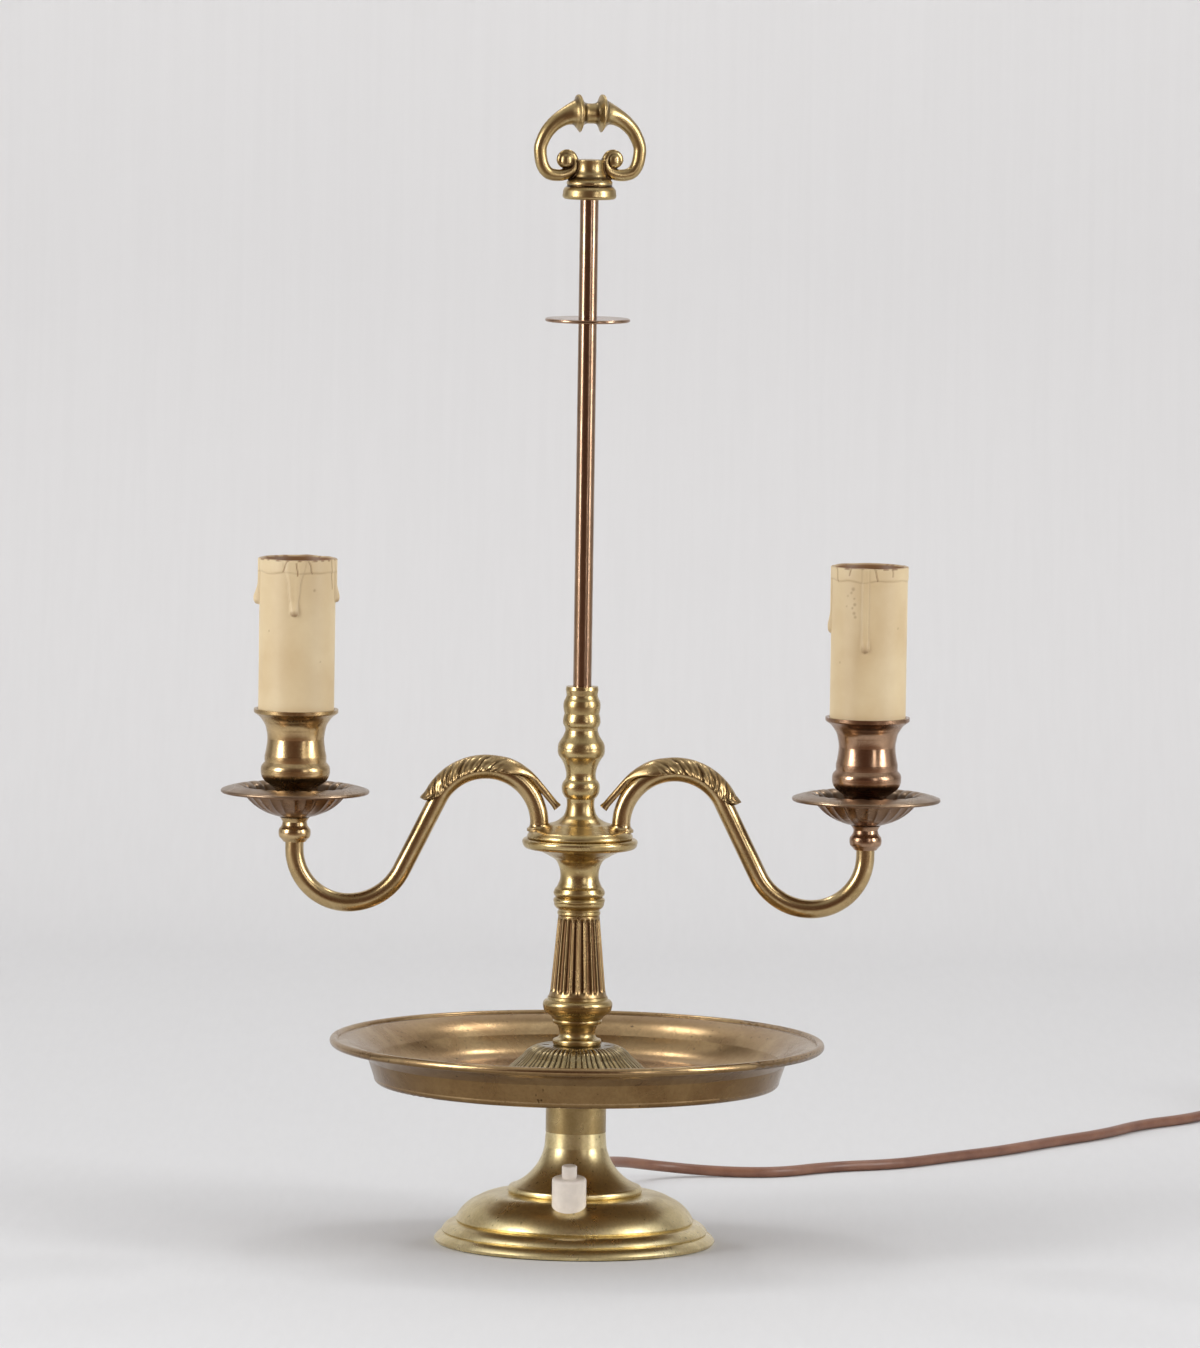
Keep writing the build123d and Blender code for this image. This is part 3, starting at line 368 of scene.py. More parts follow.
def coil_tie():
    """Flat band round the coil's turns."""
    inner, outer, low, high = COIL_SECTION
    corner, half, beyond = TIE_CORNER, TIE_HALF, TIE_CORNER + TIE_THICK
    loop = []
    for x, z, start in ((outer, high, 0), (inner, high, 90), (inner, low, 180), (outer, low, 270)):
        sign_x, sign_z = (1 if x == outer else -1), (1 if z == high else -1)
        for k in range(TIE_CORNER_STEPS + 1):
            turn = math.radians(start + 90 * k / TIE_CORNER_STEPS)
            middle = Vector((x - sign_x * corner, 0, z - sign_z * corner))
            loop.append((middle, direction(turn)))
    vertices = []
    for middle, out in loop:
        for distance, across in ((corner, -half), (corner, half), (beyond, half), (beyond, -half)):
            point = middle + out * distance + Vector((0, across, 0))
            point.z = max(point.z, TIE_LIFT)
            vertices.append(point)
    starts = [4 * i for i in range(len(loop))]
    faces = [(a + k, a + (k + 1) % 4, b + (k + 1) % 4, b + k)
             for a, b in zip(starts, starts[1:] + starts[:1]) for k in range(4)]
    turn = Matrix.Rotation(TIE_ANGLE, 3, "Z")
    piece = new_piece("coil_tie", [turn @ v + COIL_CENTRE / MM for v in vertices], faces, "black")
    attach(piece, "lamp")
    return piece


def nurbs(name, points, radius, material):
    """Smooth round cord through control points."""
    curve = bpy.data.curves.new(name, "CURVE")
    curve.dimensions = "3D"
    spline = curve.splines.new("NURBS")
    spline.points.add(len(points) - 1)
    for point, place in zip(spline.points, points):
        point.co = (*place, 1)
    spline.order_u = 3
    spline.use_endpoint_u = True
    spline.resolution_u = 8
    curve.bevel_depth = radius
    curve.bevel_resolution = 6
    curve.use_fill_caps = True
    curve.materials.append(material)
    piece = bpy.data.objects.new(name, curve)
    BASE_COLLECTION.objects.link(piece)
    return piece


def add_cord():
    points = [Vector(p) for p in CORD_ROUTE] + coil_points()
    piece = nurbs("mains_cord", points, CORD_DIAMETER / 2, MATERIALS["flex"])
    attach(piece, "lamp")
    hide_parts("cord", "cord_coil")
    coil_tie()


# ---------------------------------------------------------------- mesh helpers, in millimetres
def node_box(name):
    """Lowest and highest corner of a CAD node, in millimetres."""
    return [Vector(corner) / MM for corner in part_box(name)]


def new_piece(name, vertices, faces, material, **values):
    """Closed smooth mesh from points in millimetres; values are vertex attributes for its material."""
    mesh = bpy.data.meshes.new(name)
    mesh.from_pydata([Vector(v) * MM for v in vertices], [], faces)
    for key, numbers in values.items():
        mesh.attributes.new(key, "FLOAT", "POINT").data.foreach_set("value", numbers)
    work = bmesh.new()
    work.from_mesh(mesh)
    bmesh.ops.recalc_face_normals(work, faces=work.faces)
    work.to_mesh(mesh)
    work.free()
    for polygon in mesh.polygons:
        polygon.use_smooth = True
    mesh.materials.append(MATERIALS[material])
    piece = bpy.data.objects.new(name, mesh)
    BASE_COLLECTION.objects.link(piece)
    return piece


def stands_for(piece, node, body="lamp"):
    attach(piece, body)
    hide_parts(node)


def traced(outline, step=0.5):
    """Points along an outline of (radius, height), or (radius, height, bulge of the arc that ends there)."""
    points = [Vector(outline[0][:2])]
    for before, item in zip(outline, outline[1:]):
        start, way = Vector(before[:2]), Vector(item[:2]) - Vector(before[:2])
        bulge = Vector((way.y, -way.x)).normalized() * (item[2] if len(item) == 3 else 0)
        count = max(1, round(way.length / step))
        shares = [k / count for k in range(1, count + 1)]
        points += [start + way * t + bulge * 4 * t * (1 - t) for t in shares]
    return points


def around(loop, segments, shape):
    """A closed loop of (radius, height) points turned about Z, as vertices, faces and one value per vertex.

    Angles run from the front (-Y) towards +X. shape(index, radius, height, angle) moves a point and
    gives its value.
    """
    vertices, values, faces, count = [], [], [], len(loop)
    for i in range(segments):
        angle = 2 * math.pi * i / segments
        for j, (radius, height) in enumerate(loop):
            radius, height, value = shape(j, radius, height, angle)
            vertices.append((radius * math.sin(angle), -radius * math.cos(angle), height))
            values.append(value)
        start, following = i * count, (i + 1) % segments * count
        faces += [(start + j, start + (j + 1) % count, following + (j + 1) % count, following + j)
                  for j in range(count)]
    return vertices, faces, values


def on_node(vertices, node):
    """Points of a turned piece, set on a CAD node's middle and underside."""
    low, high = node_box(node)
    x = (low.x + high.x) / 2
    return [(v[0] + x, v[1], v[2] + low.z) for v in vertices]


def direction(angle):
    """Unit vector in the XZ plane, from +X towards +Z."""
    return Vector((math.cos(angle), 0, math.sin(angle)))


def smooth_step(value, low, high):
    share = min(1.0, max(0.0, (value - low) / (high - low)))
    return share * share * (3 - 2 * share)


def uneven_edges(count, wander, seed):
    """Edges of `count` reeds round a full turn: the angle at the foot and its drift towards the top."""
    draw = random.Random(seed)
    pitch = 2 * math.pi / count
    return [(pitch * (i + draw.uniform(-wander, wander)), pitch * draw.uniform(-wander, wander))
            for i in range(count)]


def across_reed(edges, angle, share):
    """Which reed an angle falls on, and where across it, from 0 to 1."""
    count = len(edges)

    def edge(i):
        start, drift = edges[i % count]
        return start + drift * share + i // count * 2 * math.pi

    index = int(angle / (2 * math.pi) * count)
    while edge(index) > angle:
        index -= 1
    while edge(index + 1) <= angle:
        index += 1
    return index % count, (angle - edge(index)) / (edge(index + 1) - edge(index))


def crest(across):
    """Round cross-section of a reed: 0 in the grooves, 1 on its back."""
    return math.sqrt(max(0.0, 1 - (2 * across - 1) ** 2))


# ---------------------------------------------------------------- dome and column
BORE = 5.05                     # radius of the hole that the tie tube goes through
DOME_OUTLINE = [(34.0, 0.0), (34.0, 0.9), (30.2, 5.3, -0.25), (23.4, 11.3), (19.5, 14.7, 0.4),
                (15.0, 15.8, 0.3), (13.2, 15.7, -0.1)]
DOME_TOP = 15.7                 # the flat ring's height
DOME_RING = (12.0, 10.8, 9.0, BORE)     # radii on it
DOME_REEDS = 64
REED_WANDER, REED_SEED = 0.26, 3
REED_DEPTH, REED_FADE = 0.95, 0.5       # grooves at the foot, and how much shallower they are at the ring
REED_SPLIT = 0.22               # fine line along the back of two reeds out of three
REED_LOBE = 0.35                # how far the lower ends stand out
CUT_SLANT = (0.62, 0.78)        # how a groove's depth is shared between radius and height
DIMPLE_PLACE, DIMPLE_RADIUS, DIMPLE_DEPTH = 13.4, 1.3, 1.2     # one each side, so far out along X


def reeded_dome():
    """Uneven reeds that run down from a flat ring, with lobed lower ends."""
    edges = uneven_edges(DOME_REEDS, REED_WANDER, REED_SEED)
    outline = traced(DOME_OUTLINE, 0.55)
    slope = len(outline)
    loop = outline + [Vector((r, DOME_TOP)) for r in DOME_RING] + [Vector((BORE, 0))]
    foot, top = DOME_OUTLINE[0][0], DOME_OUTLINE[-2][0]

    def shape(j, radius, height, angle):
        if j >= slope:
            # Points on the flat ring at the top get 0.6: a painted dark reflection.
            return radius, height, 0.6 if height > 1 else 0
        share = (foot - radius) / (foot - top)
        ring = smooth_step(share, 0.9, 1.0)
        index, across = across_reed(edges, angle, share)
        back = crest(across)
        depth = (REED_DEPTH - REED_FADE * share) * (1 - smooth_step(share, 0.86, 1.0))
        split = REED_SPLIT * max(0.0, 1 - abs(across - 0.5) / 0.13) * (index % 3 != 1)
        lobe = REED_LOBE * back * (1 - smooth_step(share, 0.02, 0.13))
        cut = depth * (1 - back + split) - lobe
        # Grooves and fine lines get patina; near the flat ring the ring's painted dark reflection takes over,
        # and the reeds get darker towards the top.
        dark = min(1.0, (1 - back) * 1.9 + 1.5 * split) * (1 - ring) + 0.6 * ring
        dark = max(dark, 0.35 * smooth_step(share, 0.3, 0.8))
        x, y = radius * math.sin(angle), -radius * math.cos(angle)
        # The dimples get painted shade as well as their depth.
        away = math.hypot(abs(x) - DIMPLE_PLACE, y)
        sunk = 1 - smooth_step(away, DIMPLE_RADIUS * 0.6, DIMPLE_RADIUS)
        height = max(0, height - CUT_SLANT[1] * cut) - DIMPLE_DEPTH * sunk
        return radius - CUT_SLANT[0] * cut, height, max(dark, sunk)

    vertices, faces, values = around(loop, DOME_REEDS * 10, shape)
    vertices = on_node(vertices, "reeded_dome")
    piece = new_piece("dome_reeds", vertices, faces, "dome", cavity=values)
    stands_for(piece, "reeded_dome")


SHAFT_OUTLINE = [(12.8, 0.0), (12.0, 2.5, -0.1), (9.0, 35.5)]
FLUTES = 22
FLUTE_WANDER, FLUTE_SEED = 0.06, 5
FLUTE_DEPTH = 0.75
FLUTE_HALF = 0.4                # half a flute's width, as a share of the pitch
FLUTE_ENDS = (1.9, 1.2)         # plain bands below and above the flutes


def column_shaft():
    """Tapered shaft with round-ended flutes."""
    length = SHAFT_OUTLINE[-1][1]
    outline = traced(SHAFT_OUTLINE, 0.6)
    loop = outline + [Vector((BORE, length)), Vector((BORE, 0))]
    edges = uneven_edges(FLUTES, FLUTE_WANDER, FLUTE_SEED)

    def shape(j, radius, height, angle):
        if j >= len(outline):
            return radius, height, 0
        across = across_reed(edges, angle, 0)[1]
        half = FLUTE_HALF * 2 * math.pi * radius / FLUTES
        beyond = max(0.0, FLUTE_ENDS[0] + half - height, height - (length - FLUTE_ENDS[1] - half))
        reach = ((across - 0.5) / FLUTE_HALF) ** 2 + (beyond / half) ** 2
        inside = math.sqrt(max(0.0, 1 - reach))
        return radius - FLUTE_DEPTH * inside, height, 0.9 * inside

    vertices, faces, values = around(loop, FLUTES * 14, shape)
    vertices = on_node(vertices, "column_shaft")
    piece = new_piece("fluted_shaft", vertices, faces, "shaft", cavity=values)
    stands_for(piece, "column_shaft")


# ---------------------------------------------------------------- drip pans
PAN_UNDER = [(5.0, 0.0), (11.2, 1.7, 0.15), (18.8, 6.6, 0.4), (22.4, 10.6, 0.1), (25.6, 12.3, -0.3),
             (31.8, 10.7, -0.2)]
PAN_RIM = [(32.15, 11.1), (32.2, 11.6)]
PAN_OVER = [(31.9, 12.1), (25.2, 13.8, 0.25), (21.4, 11.9, 0.35), (17.8, 7.8, -0.1), (10.8, 3.1, -0.4),
            (7.3, 1.6, -0.1), (4.05, 1.6)]
PAN_FLUTES = 26
PAN_WANDER, PAN_SEED = 0.1, 21
PAN_WAVE = 0.85                 # height of the flutes where they are highest


def drip_pan(side):
    """Pressed pan: flutes rise to a scalloped crest, and a plain brim rolls over outside it."""
    edges = uneven_edges(PAN_FLUTES, PAN_WANDER, PAN_SEED + SIDES[side])
    under = traced(PAN_UNDER, 0.6)
    loop = under + [Vector(point) for point in PAN_RIM] + traced(PAN_OVER, 0.6)
    outside = len(under) + len(PAN_RIM)

    def shape(j, radius, height, angle):
        back = crest(across_reed(edges, angle, 0)[1])
        wave = PAN_WAVE * smooth_step(radius, 9.5, 20.5) * (1 - smooth_step(radius, 23.0, 27.5))
        # The top of the pan is darker towards its middle; the flute valleys get patina.
        darker_middle = 0.85 * (1 - smooth_step(radius, 20.5, 24.0)) if j >= outside else 0.0
        return radius, height + wave * (back - 0.72), max(darker_middle, 0.5 * (1 - back) * wave)

    vertices, faces, values = around(loop, PAN_FLUTES * 12, shape)
    node = "drip_pan_" + side
    piece = new_piece("fluted_pan_" + side, on_node(vertices, node), faces, "pan", cavity=values)
    stands_for(piece, node)


# ---------------------------------------------------------------- candle sleeves
# In mm and degrees from the front (-Y) towards +X. Each drip: angle, half width at the rim and near its
# end, length, how far it stands out, and how brown its end is.
SLEEVE_DRIPS = {
    "left": [(-3.5, 5.2, 1.75, 24.4, 1.5, 0.7), (-88, 3.2, 2.4, 20.4, 2.6, 0.4),
             (84, 3.0, 2.0, 19.0, 1.9, 0.5), (-140, 2.8, 1.8, 17.0, 1.0, 0.3),
             (150, 3.0, 1.9, 27.0, 1.1, 0.5), (178, 2.4, 1.7, 15.0, 0.9, 0.2)],
    "right": [(-7, 1.7, 1.65, 36.5, 1.4, 0.45), (-90, 2.8, 2.4, 29.0, 1.5, 0.2),
              (132, 2.8, 1.9, 22.0, 1.1, 0.5), (-150, 2.6, 1.8, 18.0, 1.0, 0.4),
              (170, 3.0, 2.0, 30.0, 1.2, 0.3)],
}
# Cracks in the wax: angle, start and end below the rim, and how far one leans for each mm down.
SLEEVE_CRACKS = {
    "left": [(-13, 0.0, 5.2, -0.45), (17, 0.0, 6.0, 0.4), (-1, 1.0, 7.0, 0.1), (62, 0.0, 13.0, 0.12),
             (-120, 0.0, 6.0, 0.3)],
    "right": [(-60, 0.0, 6.5, 0.2), (6, 0.0, 5.4, 0.25), (-30, 0.0, 3.4, -0.3), (34, 0.0, 3.6, 0.1),
              (110, 0.0, 6.0, -0.2)],
}
# Brown spots: angle, distance below the rim, radius.
SLEEVE_SPOTS = {
    "left": [(28, 13.0, 0.7), (-46, 31.0, 0.5), (40, 44.0, 0.4)],
    "right": [(-27, 9.0, 0.9), (-30, 10.6, 0.6), (-25, 13.0, 0.5), (-24, 15.6, 0.8), (-28, 17.2, 0.6),
              (-25, 19.4, 0.8), (-23, 21.0, 0.7), (-36, 12.0, 0.5), (-38, 16.5, 0.45), (48, 26.0, 0.5),
              (-50, 41.0, 0.5)],
}
WAX_BAND = 5.6                  # the thick wax at the rim ends this far down
WAX_THICK = 0.3
DRIP_OUTLINE = 0.28             # how brown the edges of a drip are
CRACK_HALF = 0.42               # half a crack's width
SLEEVE_WALL = 1.5
SLEEVE_INSIDE = (0.9, 4.0, 10.0, 20.0, 40.0)    # rows of the bore, below the rim
SLEEVE_ROWS = 150
SLEEVE_SEGMENTS = 240
WAX_PLACE = {"left": 7, "right": 11}            # where each sleeve reads the noise of its wax and burnt rim
BURN_PLACE = {"left": 3, "right": 5}


def round_noise(angle, waves, place):
    """Noise that closes on itself round a full turn."""
    return noise.noise(Vector((math.sin(angle) * waves, math.cos(angle) * waves, place)))


def arc_from(degrees, angle, radius):
    """Distance round a sleeve from a mark's angle to another one."""
    return ((angle - math.radians(degrees) + math.pi) % (2 * math.pi) - math.pi) * radius


def drip_at(drip, arc, below):
    """Height of a drip at a distance round and a distance below the rim, and how brown it is there."""
    wide, narrow, length, stand, brown = drip[1:]
    share = min(1.0, below / length)
    bulb = smooth_step(below, length - 4.2 * narrow, length - 1.3 * narrow)
    taper = 0.75 * smooth_step(share, 0.0, 0.5) + 0.25 * smooth_step(share, 0.5, 0.85)
    half = wide + (narrow - wide) * taper
    end = length - narrow
    if below > end:
        half *= math.sqrt(max(0.0, 1 - ((below - end) / narrow) ** 2))
    edge = max(0.0, 1 - abs(abs(arc) - half) / 0.38) if half > 0 and share < 1 else 0.0
    outline = DRIP_OUTLINE * edge
    if half <= 0 or abs(arc) >= half:
        return 0.0, outline
    channel = 0.5 * (1 - bulb) * math.exp(-(arc / half / 0.4) ** 2)
    height = stand * (0.45 + 0.55 * bulb) * (1 - channel) * math.sqrt(1 - (arc / half) ** 2)
    if below > end:
        height *= math.sqrt(max(0.0, 1 - 0.8 * ((below - end) / narrow) ** 2))
    return height, max(outline, brown * smooth_step(share, 0.86, 1.0))


def wax_at(side, angle, below, radius, wobble):
    """How far the wax stands out at a place on a sleeve, and how brown it is there."""
    band_end = WAX_BAND + wobble
    rise = WAX_THICK * (1 - smooth_step(below, band_end - 0.5, band_end + 0.3))
    stain = 0.3 * max(0.0, 1 - abs(below - band_end) / 0.45)
    for drip in SLEEVE_DRIPS[side]:
        extra, brown = drip_at(drip, arc_from(drip[0], angle, radius), below)
        rise, stain = max(rise, extra), max(stain, brown)
    for degrees, start, end, lean in SLEEVE_CRACKS[side]:
        bend = 0.7 * noise.noise(Vector((below * 0.3, degrees, 0))) - lean * below
        line = max(0.0, 1 - abs(arc_from(degrees, angle, radius) + bend) / CRACK_HALF)
        line *= start <= below <= end
        rise, stain = rise - WAX_THICK * line, max(stain, 0.9 * line)
    for degrees, distance, size in SLEEVE_SPOTS[side]:
        away = math.hypot(arc_from(degrees, angle, radius), below - distance)
        stain = max(stain, 0.4 * (1 - smooth_step(away, size * 0.4, size * 1.3)))
    return rise, stain


def candle_sleeve(side):
    """Cardboard candle with modelled wax: a thick rim band, runs with round ends, cracks and brown spots."""
    node = "candle_sleeve_" + side
    low, high = node_box(node)
    radius, length = (high.x - low.x) / 2, high.z - low.z
    bore = radius - SLEEVE_WALL
    outside = [Vector((radius, length * k / SLEEVE_ROWS)) for k in range(SLEEVE_ROWS)]
    rim = [Vector(p) for p in ((radius - 0.15, length - 0.1), (radius - 0.6, length), (bore, length - 0.3))]
    inside = [Vector((bore, length - below)) for below in SLEEVE_INSIDE] + [Vector((bore, 0))]

    def shape(j, r, height, angle):
        below = length - height
        if j >= len(outside) + len(rim):
            return r, height, 0.95 - 0.55 * smooth_step(below, 8, 40)
        wobble = round_noise(angle, 2.2, WAX_PLACE[side])
        rise, stain = wax_at(side, angle, below, radius, wobble)
        if below < 0.6:
            burn = round_noise(angle, 7, BURN_PLACE[side])
            stain = max(stain, 0.8 * smooth_step(burn, 0.0, 0.35))
        if j >= len(outside):
            rise, stain = WAX_THICK, max(stain, 0.45 + 0.4 * wobble)
        return r + rise, height + 0.25 * wobble * (below < 3), stain

    vertices, faces, values = around(outside + rim + inside, SLEEVE_SEGMENTS, shape)
    piece = new_piece("wax_sleeve_" + side, on_node(vertices, node), faces, "sleeve", stain=values)
    stands_for(piece, node, "sleeve_" + side)


# ---------------------------------------------------------------- leaves on the arms
ARCH_X, ARCH_Z, ARCH_RADIUS = 40.9, 182.6, 23.2     # the arm's high bend
TUBE_RADIUS = 4.0
LEAF_START, LEAF_END = 20.25, 140.0                 # degrees round the bend, outer end and root of the tail
LEAF_TAIL = 14.5
LEAF_WRAP, LEAF_NARROWER = 92, 14       # degrees each side of the midrib, and what it loses towards the tail
LEAF_CLEARANCE = 0.25           # between the leaf's hollow side and the tube
LEAF_THICK = 2.5                # at the midrib
CHEVRON_PITCH = 6.6             # degrees round the bend
CHEVRON_SLANT = 2.7             # pitches from the midrib to the edge
CHEVRON_DEPTH = 0.62
TAIL_RADIUS, TAIL_MIDDLE, TAIL_EDGE = 1.6, 1.15, 84     # the tail's section; its middle above the tube
LEAF_STATIONS = 190
LEAF_HALF_POINTS = 18


def leaf_section(place, out, share, angle):
    """Outer and inner line of one cross-section, as points in the plane of `out` and Y."""

    def point(radius, turn, sign=1):
        return out * (sign * radius * math.cos(turn)) + Vector((0, radius * math.sin(turn), 0))

    wrap = math.radians(LEAF_WRAP - LEAF_NARROWER * smooth_step(angle, 100, 125))
    wrap *= 0.35 + 0.65 * math.sqrt(smooth_step(share, 0, 0.09))
    curl = 0.5 * (1 - smooth_step(share, 0.0, 0.05))
    groove_zone = smooth_step(angle, 20, 28) * (1 - smooth_step(angle, 96, 112))
    tail = smooth_step(share, 0.6, 0.8)
    thin = TAIL_RADIUS + 0.3 * smooth_step(share, 0.965, 1.0)
    middle = out * (TUBE_RADIUS + TAIL_MIDDLE)
    uneven = 0.35 * noise.noise(Vector((angle / 9, 0, 3)))
    outer, inner, dark = [], [], []
    for k in range(-LEAF_HALF_POINTS, LEAF_HALF_POINTS + 1):
        side = k / LEAF_HALF_POINTS
        out_share = abs(side)
        # The grooves are chevrons: they run back from the midrib towards the outer end.
        phase = angle / CHEVRON_PITCH + CHEVRON_SLANT * out_share + uneven
        wave = abs(phase % 1.0 - 0.5) * 2
        deep = 0.6 + 0.4 * math.sin(int(phase) * 2.4)
        groove = groove_zone * CHEVRON_DEPTH * deep * (1 - wave) ** 1.3 * smooth_step(out_share, 0.02, 0.3)
        scallop = groove_zone * wave ** 0.7 * smooth_step(out_share, 0.66, 0.95)
        lift = 0.6 * smooth_step(out_share, 0.6, 1.0)
        thick = LEAF_THICK - 0.9 * out_share + 0.4 * (1 - groove_zone) * (1 - out_share)
        over = TUBE_RADIUS + thick + lift + curl - groove + scallop
        under = TUBE_RADIUS + LEAF_CLEARANCE + lift * 0.8 + curl
        turn, edge = wrap * side, math.radians(TAIL_EDGE) * side
        outer.append(place + point(over, turn).lerp(middle + point(thin, edge), tail))
        inner.append(place + point(under, turn).lerp(middle + point(thin, edge, -1), tail))
        dark.append(min(1.0, 1.9 * groove))
    # Grooves get patina; the hollow side that faces the tube gets painted shade, fading out along the tail.
    return outer + inner[::-1], dark + [0.9 * (1 - tail)] * len(inner)


def arm_leaf(side):
    """Acanthus leaf folded over the arch, with a slim tail that leaves the arm towards the spindle."""
    centre = Vector((ARCH_X, 0, ARCH_Z))
    arc_length = math.radians(LEAF_END - LEAF_START) * (ARCH_RADIUS + TUBE_RADIUS)
    whole = arc_length + LEAF_TAIL
    vertices, values, rings = [], [], []
    for i in range(LEAF_STATIONS + 1):
        share = i / LEAF_STATIONS
        run = share * whole
        angle = min(LEAF_END, LEAF_START + (LEAF_END - LEAF_START) * run / arc_length)
        out, way = direction(math.radians(angle)), direction(math.radians(angle + 90))
        place = centre + out * ARCH_RADIUS + way * max(0.0, run - arc_length)
        points, dark = leaf_section(place, out, share, angle)
        rings.append(len(vertices))
        vertices += [(p.x * SIDES[side], p.y, p.z) for p in points]
        values += dark
    count = len(points)
    faces = [(a + j, a + (j + 1) % count, b + (j + 1) % count, b + j) for a, b in zip(rings, rings[1:])
             for j in range(count)]
    for start in (rings[0], rings[-1]):
        last = start + count - 1
        faces += [(start + j, start + j + 1, last - 1 - j, last - j) for j in range(count // 2 - 1)]
    node = "arm_leaf_" + side
    piece = new_piece("acanthus_" + side, vertices, faces, "leaf", cavity=values)
    stands_for(piece, node)


# ---------------------------------------------------------------- handle
HANDLE_TURN = math.radians(14)       # how the handle stands on its thread
# Centre line of the right limb as (x, height above the foot's underside, radius of the bar): half of the
# crossbar, its bell-shaped flange, and the bar out and round to the volute.
LIMB = [(0.0, 36.9, 4.35), (2.0, 36.9, 4.5), (3.2, 36.9, 5.3), (4.2, 36.9, 7.0), (4.7, 36.9, 8.1),
        (5.1, 36.9, 8.25), (5.6, 36.85, 7.7), (6.4, 36.8, 6.4), (7.6, 36.7, 5.4), (9.4, 36.3, 4.5),
        (12.0, 35.2, 3.8), (15.4, 33.0, 3.35), (18.8, 29.5, 3.05), (21.2, 25.0, 2.9), (22.1, 21.0, 2.8),
        (21.1, 15.0, 2.8), (18.6, 11.4, 2.7), (14.7, 10.3, 2.6), (11.0, 10.7, 2.5)]
VOLUTE = (10.5, 16.6)                # middle of the right volute, as (x, height)
VOLUTE_BALL = [(0, -3.1), (3.1, 0, 1.25), (0, 3.1, 1.25)]
BALL_FLATTER = 0.95
# The bar's end winds round the volute's middle: angle, distance from the middle, radius of the bar.
CURL = [(-60, 4.9, 2.4), (-30, 4.1, 2.2), (0, 3.5, 2.0), (45, 3.3, 1.85), (90, 3.2, 1.7), (135, 3.0, 1.6),
        (180, 2.8, 1.5), (225, 2.4, 1.4), (270, 1.9, 1.3)]
FOOT_OUTLINE = [(0.0, 0.0), (10.6, 0.0), (11.5, 2.4, 0.6), (10.4, 5.2, 0.4), (9.5, 5.9, -0.15),
                (9.9, 7.3, 0.25), (9.0, 8.4, 0.1), (7.0, 10.6, -0.5), (5.9, 14.0, -0.3), (6.3, 17.1, -0.15),
                (0.0, 16.7)]
HANDLE_VOXEL = 0.00036               # metres
HANDLE_SOFTER = 0.5, 4               # factor and rounds of smoothing


def closed_turn(outline, segments=72):
    """Solid from an outline that starts and ends on the axis, as vertices and faces about Z."""
    points = traced(outline, 0.5)[1:-1]
    count, vertices, faces = len(points), [], []
    low, high = segments * count, segments * count + 1
    for i in range(segments):
        angle = 2 * math.pi * i / segments
        vertices += [(p.x * math.cos(angle), p.x * math.sin(angle), p.y) for p in points]
        a, b = i * count, (i + 1) % segments * count
        faces += [(a + j, a + j + 1, b + j + 1, b + j) for j in range(count - 1)]
        faces += [(a, b, low), (a + count - 1, b + count - 1, high)]
    return vertices + [(0, 0, outline[0][1]), (0, 0, outline[-1][1])], faces


def bar(stations, sides=28):
    """Round bar through (point, radius) stations, in the XZ plane."""
    vertices, faces = [], []
    for i, (place, radius) in enumerate(stations):
        before, after = stations[max(0, i - 1)][0], stations[min(len(stations) - 1, i + 1)][0]
        way = (after - before).normalized()
        out = Vector((way.z, 0, -way.x))
        for k in range(sides):
            a = 2 * math.pi * k / sides
            vertices.append(place + out * (radius * math.cos(a)) + Vector((0, radius * math.sin(a), 0)))
    last = (len(stations) - 1) * sides
    for a in range(0, last, sides):
        b = a + sides
        faces += [(a + k, a + (k + 1) % sides, b + (k + 1) % sides, b + k) for k in range(sides)]
    faces += [tuple(range(sides)), tuple(range(last, last + sides))]
    return vertices, faces


def curved(stations, per_span=7):
    """Catmull-Rom points through (x, z, radius) stations."""
    padded = [stations[0]] + stations + [stations[-1]]
    result = []
    for a, b, c, d in zip(padded, padded[1:], padded[2:], padded[3:]):
        for k in range(per_span):
            t = k / per_span
            result.append([0.5 * (2 * q + (r - p) * t + (2 * p - 5 * q + 4 * r - s) * t * t
                                  + (3 * q - p - 3 * r + s) * t ** 3) for p, q, r, s in zip(a, b, c, d)])
    result.append(list(stations[-1]))
    return [(Vector((x, 0, z)), radius) for x, z, radius in result]


def limb_stations():
    """The right limb's stations; the curl's angles run from the side that faces the lamp's axis, upwards."""
    curl = [(VOLUTE[0] - d * math.cos(math.radians(a)), VOLUTE[1] + d * math.sin(math.radians(a)), r)
            for a, d, r in CURL]
    return curved(LIMB + curl)


def hollows(mesh, rounds=8, full=0.09):
    """How hollow the surface is at each vertex, from 0 to 1 at `full` per mm, evened out over `rounds`."""
    work = bmesh.new()
    work.from_mesh(mesh)
    work.normal_update()
    near = [[edge.other_vert(v).index for edge in v.link_edges] for v in work.verts]
    values = []
    for v in work.verts:
        ways = [edge.other_vert(v).co - v.co for edge in v.link_edges]
        values.append(sum(way.dot(v.normal) / way.length_squared for way in ways) / len(ways) * MM)
    work.free()
    for _ in range(rounds):
        means = [sum(values[k] for k in ring) / len(ring) for ring in near]
        values = [0.5 * value + 0.5 * mean for value, mean in zip(values, means)]
    return [min(1.0, max(0.0, value / full)) for value in values]


